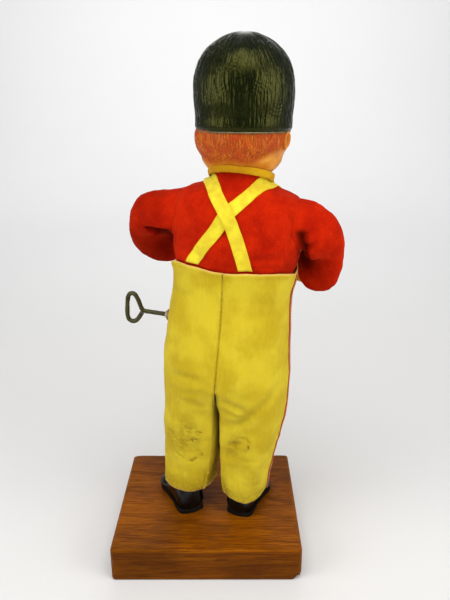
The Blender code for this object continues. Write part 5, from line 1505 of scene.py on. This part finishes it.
def make_head():
    z = np.concatenate([np.linspace(186, 191, 12), np.linspace(191, 208.6, 100)[1:]])
    angle = np.linspace(0, tau, 361)[:-1] - pi / 2
    shape = curve(HEAD_SHAPE, z)
    x, y = oval(shape[:, :1], shape[:, 1:2], angle[None, :], 2.1)
    P = np.stack([x, y + shape[:, 2:3], np.repeat(z[:, None], len(angle), 1)], axis=2)
    N = grid_normals(P, True)
    N *= np.sign(np.sum(N[..., :2] * P[..., :2]))
    A, Z = np.broadcast_arrays(angle[None, :], z[:, None])
    X, Y = P[..., 0], P[..., 1]
    front = step(2, -10, Y)
    from_back = np.abs(np.arctan2(X, Y))
    hairline = 192.8 + 1.4 * np.cos(from_back * 6) * 0.4 + 5.0 * step(0.9, 1.7, from_back)
    low_side = 3.2 * step(0.35, 1.1, -np.arctan2(X, Y)) * step(2.4, 1.8, from_back)
    hair = step(-3.0, 4.6, Z - hairline - low_side) * step(2.05, 1.60, from_back)
    wave = looped(A + 0.03 * np.sin(Z * 0.9 + 3 * A), Z, (0.75, 5.5), 3, 2)
    curl = looped(A, Z, (3.2, 5.0), 2, 5)
    strands = 1 - np.abs(wave) * 2.2
    move = hair * (0.30 * strands + 0.40 * curl + 0.35)

    def at(px, pz, wx, wz):
        return np.exp(-(((X - px) / wx) ** 2) - ((Z - pz) / wz) ** 2) * front

    move = move + 2.9 * at(0, 198.2, 1.7, 1.5) + 1.5 * at(0, 200.8, 1.2, 2.2)
    move += 0.9 * (at(1.7, 197.7, 1.0, 0.8) + at(-1.7, 197.7, 1.0, 0.8))
    move -= 1.3 * (at(7.0, 202.0, 3.4, 1.7) + at(-7.0, 202.0, 3.4, 1.7))
    move += 0.9 * (at(7.0, 201.9, 2.4, 1.2) + at(-7.0, 201.9, 2.4, 1.2))
    move += 0.55 * (at(7.0, 204.9, 4.2, 0.9) + at(-7.0, 204.9, 4.2, 0.9))
    move += 0.8 * (at(11.0, 198.0, 4.0, 2.6) + at(-11.0, 198.0, 4.0, 2.6))
    move += 1.1 * at(0, 195.4, 3.4, 0.6) + 1.1 * at(0, 194.0, 2.8, 0.65) - 0.75 * at(0, 194.72, 3.9, 0.22)
    move -= 0.5 * at(0, 196.4, 0.6, 0.7)
    move += 1.9 * at(0, 191.9, 4.2, 1.5) - 0.5 * at(0, 193.2, 3.0, 0.4)
    marks = {
        "hair": np.clip(hair, 0, 1),
        "blush": 0.7 * (
            at(11.5, 197.8, 3.6, 2.2) + at(-11.5, 197.8, 3.6, 2.2)
        ) + 0.3 * at(0, 198.2, 1.8, 1.4),
        "lip": np.clip(1.6 * (at(0, 195.35, 3.2, 0.55) + at(0, 194.05, 2.6, 0.6)) - 0.35, 0, 1),
        "brow": np.clip(
            1.8 * (
                bell(Z - 205.3 + 0.05 * (np.abs(X) - 7) ** 2, 0.42) * bell(np.abs(X) - 7.0, 3.6) * front
            ) - 0.5,
            0, 1,
        ),
        "white": step(1.0, 0.86, ((np.abs(X) - 7.0) / 2.5) ** 2 + ((Z - 202.0) / 1.12) ** 2) * front,
        "iris": step(1.0, 0.8, ((np.abs(X) - 7.0) / 1.05) ** 2 + ((Z - 202.0) / 1.05) ** 2) * front,
        "shade": np.clip(
            0.5 * step(190.6, 188.5, Z)
            + 0.9 * front * bell(((np.abs(X) - 7.0) / 2.5) ** 2 + ((Z - 202.0) / 1.12) ** 2 - 1.05, 0.16)
            + 0.8 * at(0, 194.72, 3.9, 0.16)
            + 0.35 * step(206.2, 207.6, Z)
            + 0.6 * (at(1.3, 197.0, 0.5, 0.3) + at(-1.3, 197.0, 0.5, 0.3)),
            0, 1,
        ),
    }
    P = P + N * move[..., None]
    P[..., 2] -= NECK_Z
    head = skin("moulded_head", P, PAINTED_HEAD, caps=(True, True), matrix=HEAD, marks=marks, angle=60)
    on(head, "head_body", "head", slot="moulded_head")
    for sign, side in ((1, "left"), (-1, "right")):
        on(make_ear(side, sign), "head_body", slot="moulded_head")


def make_ear(side, sign):
    """A flat ear: a rim rolled round a shallow bowl, with its lobe below."""
    u = np.linspace(0, tau, 65)[:-1]
    rings = []
    for r, out in (
        (1.0, -0.9), (1.06, 0.0), (1.05, 0.75), (0.98, 1.25), (0.86, 1.35), (0.74, 1.0), (0.62, 0.5),
        (0.45, 0.25), (0.25, 0.35), (0.05, 0.4),
    ):
        wide = 2.5 * (1 + 0.22 * np.sin(u)) * r
        tall = 4.1 * r
        depth = out * (1 - 0.45 * step(-0.3, -1.0, np.sin(u))) + 0.5 * step(0.2, -1, np.cos(u)) * (r > 0.6)
        rings.append(np.stack([depth, -wide * np.cos(u), tall * np.sin(u)], axis=1))
    P = spline(rings, 4)
    tilt = np.array(Euler((radians(10), 0, radians(16))).to_matrix())
    P = P @ tilt.T
    P = (P + (21.7, 1.2, 203.6 - NECK_Z)) * (sign, 1, 1)
    n = P.shape[:2]
    marks = {
        "hair": np.zeros(n), "blush": np.full(n, 0.25),
        "shade": np.repeat(0.55 * bell(np.linspace(0, 1, n[0]) - 0.72, 0.12)[:, None], n[1], 1),
    }
    return skin(f"ear_{side}", P, PAINTED_HEAD, caps=(True, True), matrix=HEAD, marks=marks, angle=60)


def make_cap():
    """The bearskin: a moulded dome of fur strands that run down from its crown."""
    along = np.concatenate([np.linspace(0, 1.2, 7), np.linspace(1.2, 55.5, 210)[1:]])
    shape = curve(CAP, along)
    angle = np.linspace(0, tau, 481)[:-1]
    A, L = np.broadcast_arrays(angle[None, :], along[:, None])
    z, r = shape[:, :1], shape[:, 1:2]
    P = np.stack([r * np.cos(A), r * 1.02 * np.sin(A), z + 0 * A], axis=2)
    N = grid_normals(P, True)
    N *= np.sign(np.sum(N * (P - (0, 0, 225))))
    sway = 0.022 * np.sin(L * 0.16 + 3 * A) + 0.012 * np.sin(L * 0.41 - 5 * A)
    fine = looped(A + sway, L, (0.55, 16), 2, 3)
    lock = looped(A + sway * 1.4, L, (1.5, 24), 2, 7)
    broad = looped(A, L, (9, 12), 2, 11)
    ridge = np.clip(1 - np.abs(fine) * 2.4, -0.4, 1)
    crown = step(55.0, 44, L)
    foot = step(0.4, 2.2, L)
    move = (0.17 * ridge + 0.15 * (1 - np.abs(lock) * 2.0)) * crown * foot + 0.30 * broad * crown
    move -= 0.20 * crown
    P = P + N * move[..., None]
    P[..., 2] -= NECK_Z
    P[..., 0] -= 0.8
    inner = []
    for radius, level in ((19.6, 210.5), (20.2, 208.4), (21.2, 207.75)):
        inner.append(
            np.stack(
                [radius * np.cos(angle) - 0.8, radius * np.sin(angle), np.full_like(angle, level - NECK_Z)],
                axis=1,
            )
        )
    P = np.concatenate([np.array(inner), P])
    mark = np.concatenate([np.zeros((3, len(angle))), np.clip(ridge, 0, 1) * foot])
    cap = skin("bearskin_cap", P, FUR, caps=(True, True), matrix=HEAD, marks={"ridge": mark}, angle=70)
    on(cap, "head_body", "hat", slot="bearskin")
    t = np.linspace(0, tau, 193)[:-1]
    rows = []
    for k in range(12):
        q = k * tau / 12
        rows.append(
            np.stack(
                [
                    (22.05 + 0.42 * cos(q)) * np.cos(t) - 0.6, (22.35 + 0.42 * cos(q)) * np.sin(t),
                    np.full_like(t, 207.45 - NECK_Z + 0.36 * sin(q)),
                ],
                axis=1,
            )
        )
    rows.append(rows[0])
    edge = skin("cap_edge", np.array(rows), RIM, matrix=HEAD)
    on(edge, "head_body", slot="bearskin")


# --- arms, sticks and drum ----------------------------------------------------------------------------
HAND = np.array((27.0, -38.0, 131.0))
STICK_TIP = np.array((7.5, -52.0, 121.9))
ARM_PATHS = {
    "left": [
        (34.0, 0, 166), (40.5, -0.6, 164.6), (45.4, -4, 160), (45.2, -9.5, 155.2), (42, -16, 151.6),
        (38.6, -20.5, 149.6), (35.4, -27.5, 148.6), (31.8, -36, 147.2),
    ],
    "right": [
        (34.0, 0, 166), (40.0, -0.4, 163), (45.0, -2, 156), (44.4, -7, 149.4), (40.5, -13.5, 145),
        (36.2, -19.5, 142), (33.4, -25.5, 138.4), (30.6, -31, 135),
    ],
}


def at_rest(point, side):
    """The left arm rests with its stick up, so its points are swung up from where they strike."""
    if side == "right":
        return np.array(point, float)
    pivot = np.array((0, 0, SHOULDER_Z))
    y, z = point[1] - pivot[1], point[2] - pivot[2]
    return np.array((point[0], y * cos(SWING) + z * sin(SWING), pivot[2] - y * sin(SWING) + z * cos(SWING)))


def blob(name, centre, axes, look):
    """A round lump with the given three half axes."""
    v = np.linspace(-pi / 2 * 0.96, pi / 2 * 0.96, 13)
    u = np.linspace(0, tau, 25)[:-1]
    a, b, c = (np.array(axis, float) for axis in axes)
    P = (
        np.array(centre)
        + np.cos(v)[:, None, None] * np.cos(u)[None, :, None] * a
        + np.cos(v)[:, None, None] * np.sin(u)[None, :, None] * b
        + np.sin(v)[:, None, None] * c
    )
    return skin(name, P, look, caps=(True, True))


def make_arms():
    flip = np.array((-1.0, 1, 1))
    for side, sign in (("left", 1), ("right", -1)):
        hand, tip = at_rest(HAND, side), at_rest(STICK_TIP, side)
        along = (tip - hand) / np.linalg.norm(tip - hand)
        forearm = hand - np.array(ARM_PATHS[side][-1], float)
        forearm /= np.linalg.norm(forearm)
        up = np.array((0.35, 0, 1.0)) - along * (np.array((0.35, 0, 1.0)) @ along)
        up /= np.linalg.norm(up)
        aside = np.cross(along, up)
        mirror = (lambda p: np.asarray(p) * flip) if sign < 0 else (lambda p: np.asarray(p))
        path = spline([*ARM_PATHS[side], hand - forearm * 3.0 + up * 1.0], 6)
        share = np.linspace(0, 1, len(path))
        radius = curve([(0, 3.9), (0.35, 3.6), (0.6, 3.9), (0.85, 3.2), (0.95, 2.9), (1, 3.0)], share)[:, 0]
        pieces = [tube("p0", mirror(path), radius, ARM_PAINT, 24)]
        pieces.append(
            blob(
                "p1", mirror(hand + up * 1.5 - aside * 0.4 - along * 0.4),
                [mirror(aside * 3.3), mirror(up * 2.7), mirror(along * 4.9)], ARM_PAINT,
            )
        )
        pieces.append(
            blob(
                "p2", mirror(hand + up * 0.4 - forearm * 2.2),
                [mirror(aside * 3.0), mirror(up * 2.6), mirror(along * 3.4)], ARM_PAINT,
            )
        )
        for k in range(4):
            middle = hand + along * (3.6 - 2.35 * k)
            arc = []
            reach = (2.85, 3.1, 3.0, 2.7)[k]
            for degrees in np.linspace(70, -165, 13):
                q = radians(degrees)
                arc.append(middle + reach * (sin(q) * up - cos(q) * aside) + along * 0.25 * cos(q))
            pieces.append(tube(f"f{k}", mirror(spline(arc, 2)), (1.3, 1.36, 1.32, 1.15)[k], ARM_PAINT, 14))
        thumb = [
            hand + up * 1.8 + aside * 2.4 - along * 2.8, hand + up * 1.9 + aside * 2.9 + along * 0.6,
            hand + up * 1.5 + aside * 2.0 + along * 3.2, hand + up * 1.0 + aside * 1.4 + along * 5.4,
        ]
        pieces.append(tube("th", mirror(spline(thumb, 4)), 1.35, ARM_PAINT, 14))
        arm = fused(f"painted_arm_{side}", pieces, 0.34, 3)
        arm.data.materials.clear()
        arm.data.materials.append(ARM_PAINT)
        arm.data.shade_smooth()
        on(arm, f"arm_{side}_body", f"arm_{side}", slot="painted_arm")
        butt = hand - along * 12
        length = np.linalg.norm(tip - butt)
        profile = [
            (0.15, length + 2.1), (1.0, length + 1.9), (1.75, length + 1.2), (2.1, length),
            (1.8, length - 1.1), (1.05, length - 2.2), (0.85, length - 3.2), (1.0, 0.75 * length),
            (1.3, 0.45 * length), (1.4, 0.2 * length), (1.4, 0.6), (1.15, 0.1), (0.2, 0.0),
        ]
        grid = turned_grid(profile, 40, 5)
        a, b = mirror(aside), mirror(up)
        s = mirror(along)
        P = mirror(butt) + grid[..., :1] * a + grid[..., 1:2] * b + grid[..., 2:3] * s
        stick = skin(f"stick_{side}", P, STICK, caps=(True, True))
        on(stick, f"arm_{side}_body", f"drumstick_{side}", slot="stick_wood")


DRUM = FIGURE @ Matrix.Translation((0, -52.5 * MM, 119.5 * MM)) @ Matrix.Rotation(radians(4), 4, "X")
DRUM_R, DRUM_H = 19.5, 21.0


def make_drum():
    seam = [
        (18.8, -1.0), (19.5, -1.0), (19.5, -2.2), (19.44, -5), (19.4, -10.5), (19.44, -16), (19.5, -18.8),
        (19.5, -20), (18.8, -20), (18.8, -1.0),
    ]
    grid = turned_grid(seam, 128)
    angle = np.arctan2(grid[..., 1], grid[..., 0])
    lap = step(0.00, 0.01, angle - 1.5) * step(0.16, 0.15, angle - 1.5)
    outer = np.hypot(grid[..., 0], grid[..., 1]) > 19.2
    grid[..., :2] *= (1 + 0.006 * lap * outer)[..., None]
    shell = skin("drum_wall", grid, DRUM_PAINT, matrix=DRUM)
    on(shell, "standing_figure", "drum_shell", slot="drum_paint")
    for name, top, sign in (("top", 0.0, 1), ("bottom", -DRUM_H, -1)):
        profile = [
            (0.15, 0.05), (6, 0.02), (12, 0.0), (17, 0.0), (19.0, 0.0), (19.45, -0.12), (19.5, -0.35),
            (19.4, -0.6), (18.5, -0.68), (10, -0.68), (0.15, -0.66),
        ]
        grid = turned_grid([(r, top + sign * z) for r, z in profile], 128, 3)
        grid[..., 2] += rough(grid, (12, 12, 3), 2, 4) * 0.06 * (grid[..., 0] ** 2 + grid[..., 1] ** 2 < 330)
        disc = skin(f"drum_head_{name}", grid, SKIN_CARD, caps=(True, True), matrix=DRUM)
        on(disc, "standing_figure", f"drum_skin_{name}", slot="drum_skin")
        base = 1.0 - 4.0 if sign > 0 else -DRUM_H - 1.0
        hoop = [
            (19.82, 0.3), (20.1, 0.02), (20.9, 0.02), (21.15, 0.35), (21.2, 1.2), (21.2, 2.8),
            (21.15, 3.65), (20.9, 3.98), (20.1, 3.98), (19.82, 3.7), (19.82, 0.3),
        ]
        grid = turned_grid([(r, base + z) for r, z in hoop], 128)
        ring = skin(f"hoop_{name}", grid, HOOP_PAINT, matrix=DRUM)
        on(ring, "standing_figure", f"drum_hoop_{name}", slot="hoop_paint")
    count = 10  # of the cord's points at each hoop
    path = []
    for k in range(count * 2):
        a = k * tau / (count * 2)
        level = -2.6 if k % 2 == 0 else -18.4
        for da, dr in ((-0.03, 0.75), (0.0, 1.5), (0.03, 0.75)):
            path.append(
                ((DRUM_R + 0.1 + dr * 0.35) * cos(a + da), (DRUM_R + 0.1 + dr * 0.35) * sin(a + da), level)
            )
    path = np.array(path)
    dense = []
    for p, q in zip(path, np.roll(path, -1, 0)):
        for t in np.linspace(0, 1, 9)[:-1]:
            point = p + (q - p) * t
            reach = np.hypot(point[0], point[1])
            want = max(reach, DRUM_R + 0.42)
            dense.append((point[0] * want / reach, point[1] * want / reach, point[2]))
    rings = tube_grid(dense, 0.42, 10)
    twist = np.sin(np.arange(len(dense))[:, None] * 1.1 + np.arange(10)[None, :] * tau / 10 * 2)
    middle = rings.mean(1, keepdims=True)
    rings = middle + (rings - middle) * (1 + 0.10 * twist[..., None])
    cord = skin("drum_cord", rings, CORD, caps=(True, True), matrix=DRUM)
    on(cord, "standing_figure", slot="drum_skin")
    ears = []
    for k in range(count):
        a = (2 * k + 0.5) * tau / (count * 2)
        u = np.linspace(0, tau, 25)[:-1]
        rows = []
        for z, wide in ((-4.6, 1.0), (-5.4, 1.15), (-6.6, 0.95), (-7.6, 0.7)):
            shift = tau / (count * 2) * ((z + 2.6) / -15.8 - 0.5)
            q = a + shift
            out = np.array((cos(q), sin(q), 0))
            side = np.array((-sin(q), cos(q), 0))
            rows.append(
                (DRUM_R + 0.62) * out + np.array((0, 0, z)) + np.outer(
                    np.cos(u) * wide, side,
                ) + np.outer(np.sin(u) * 0.62, out)
            )
        ears.append(skin(f"ear{k}", np.array(rows), STICK, caps=(True, True), matrix=DRUM))
    tugs = merged("drum_tugs", ears)
    on(tugs, "standing_figure", slot="stick_wood")


# --- key ----------------------------------------------------------------------------------------------
def make_key():
    axis = FIGURE @ Matrix.Translation((0, 0, KEY_Z * MM))
    loop = [
        (-2.6, 0.0), (-0.6, 0.5), (0.6, 2.0), (1.7, 4.6), (3.2, 7.4), (4.5, 8.8), (5.8, 9.2),
        (7.3, 8.5), (8.2, 6.9),
        (8.6, 3.8), (8.7, -1.0), (8.4, -4.4), (7.4, -6.3), (5.3, -7.0), (3.1, -5.9), (1.9, -4.2),
        (0.9, -2.4), (0.3, -1.3),
    ]
    points = [(36.3, 0, 0), (39.0, 0, 0), (42, 0, 0), (44.8, 0, 0), *((49.6 + x, 0.0, z) for x, z in loop)]
    path = spline(points, 10)
    path[:, 1] += 0.35 * np.sin(np.linspace(0, 5, len(path))) * step(46, 50, path[:, 0])
    radius = 1.22 * (
        1 + 0.03 * np.sin(np.arange(len(path)) * 0.37) + 0.02 * np.sin(np.arange(len(path)) * 1.3)
    )
    rings = tube_grid(path, radius, 28)
    middle = rings.mean(1, keepdims=True)
    rings = middle + (rings - middle) * (1 + 0.05 * rough(rings, 1.6, 2, 3))[..., None]
    key = skin("key_wire", rings, KEY_METAL, caps=(True, True), matrix=axis)
    on(key, "winding_body", "wind_key", slot="blued_steel")
    collar = [
        (2.1, 29.4), (2.1, 34.6), (2.5, 35.0), (3.0, 34.9), (3.25, 34.4), (3.3, 33.6), (3.9, 33.3),
        (4.1, 32.7), (3.9, 32.1), (3.3, 31.8), (3.3, 27.0), (3.25, 25.7), (2.4, 25.6), (2.1, 25.8),
        (2.1, 29.4),
    ]
    grid = turned_grid(collar, 64)
    along = FIGURE @ Matrix.Translation((0, 0, KEY_Z * MM)) @ Matrix.Rotation(pi / 2, 4, "Y")
    bush = skin("key_eyelet", grid, BUSH, matrix=along)
    on(bush, "standing_figure", "key_bush", slot="brass")


make_head()
make_cap()
make_arms()
make_drum()
make_key()


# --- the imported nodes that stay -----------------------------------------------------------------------
BY_SLOT = {"steel": STEEL, "blued_steel": BLUED, "brass": BRASS, "tinplate": TIN}
slots = {part["node"]: part["material_slot"] for part in frame["record"]["subparts"]}
for name, node in frame["nodes"].items():
    look = BY_SLOT.get(slots.get(name))
    if look:
        for k in range(max(1, len(node.material_slots))):
            if not node.material_slots:
                node.data.materials.append(look)
            node.material_slots[k].material = look


# --- floor, light and camera --------------------------------------------------------------------------
def make_floor():
    """A floor that sweeps up into a wall beyond the block."""
    profile = [(1600, 0), (900, 0), (300, 0), (0, 0), (-500, 0), (-900, 0)]
    for degrees in range(10, 91, 10):
        profile.append((-900 - 700 * sin(radians(degrees)), 700 - 700 * cos(radians(degrees))))
    profile += [(-1600, 1400), (-1600, 2600)]
    xs = np.linspace(-2600, 2600, 9)
    P = np.array([[(x, y, z - 0.05) for x in xs] for y, z in profile])
    floor = skin("studio_floor", P, floor_look(), closed=False, matrix=Matrix.Identity(4), angle=80)


def lamp(name, at, size, power, tint=(1, 1, 1), aim=(0, 0, 120)):
    light = bpy.data.lights.new(name, "AREA")
    light.shape, light.size, light.size_y = "RECTANGLE", size[0] * MM, size[1] * MM
    light.energy, light.color = power, tint
    made = bpy.data.objects.new(name, light)
    bpy.context.scene.collection.objects.link(made)
    made.location = Vector(at) * MM
    made.rotation_euler = (Vector(aim) * MM - made.location).to_track_quat("-Z", "Y").to_euler()
    return made


def make_light():
    scene = bpy.context.scene
    world = bpy.data.worlds.new("studio")
    scene.world = world
    world.use_nodes = True
    tree = world.node_tree
    shade = tree.nodes["Background"]
    shade.inputs["Color"].default_value = (1.0, 1.0, 1.0, 1)
    shade.inputs["Strength"].default_value = 0.26
    lamp("left_box", (570, 320, 350), (460, 420), 2.1, (1.0, 0.99, 0.96))
    lamp("right_box", (-590, 330, 350), (480, 420), 2.4, (1.0, 0.99, 0.96))
    lamp("top_box", (-20, 330, 720), (620, 420), 3.0, (1.0, 0.99, 0.97), aim=(0, 0, 150))
    lamp("front_fill", (0, -560, 500), (600, 400), 0.8, (1.0, 0.99, 0.97))
    lamp("wall_wash", (0, -760, 900), (1800, 300), 9.4, aim=(0, -1600, 260))
    scene.view_settings.view_transform = "Standard"
    scene.view_settings.look = "None"


def make_camera():
    pitch, yaw, roll = radians(18.57), radians(0.56), radians(-0.46)
    forward = Vector((sin(yaw) * cos(pitch), -cos(yaw) * cos(pitch), -sin(pitch)))
    right = forward.cross(Vector((0, 0, 1))).normalized()
    up = right.cross(forward)
    right, up = cos(roll) * right + sin(roll) * up, -sin(roll) * right + cos(roll) * up
    data = bpy.data.cameras.new("camera")
    data.sensor_fit = "VERTICAL"
    data.sensor_height = 36
    data.lens = 36.92
    data.clip_start, data.clip_end = 0.01, 20
    made = bpy.data.objects.new("camera", data)
    bpy.context.scene.collection.objects.link(made)
    turn = Matrix((right, up, -forward)).transposed().to_4x4()
    made.matrix_world = Matrix.Translation((-13.5 * MM, 304.5 * MM, 243.0 * MM)) @ turn
    bpy.context.scene.camera = made


make_floor()
make_light()
make_camera()
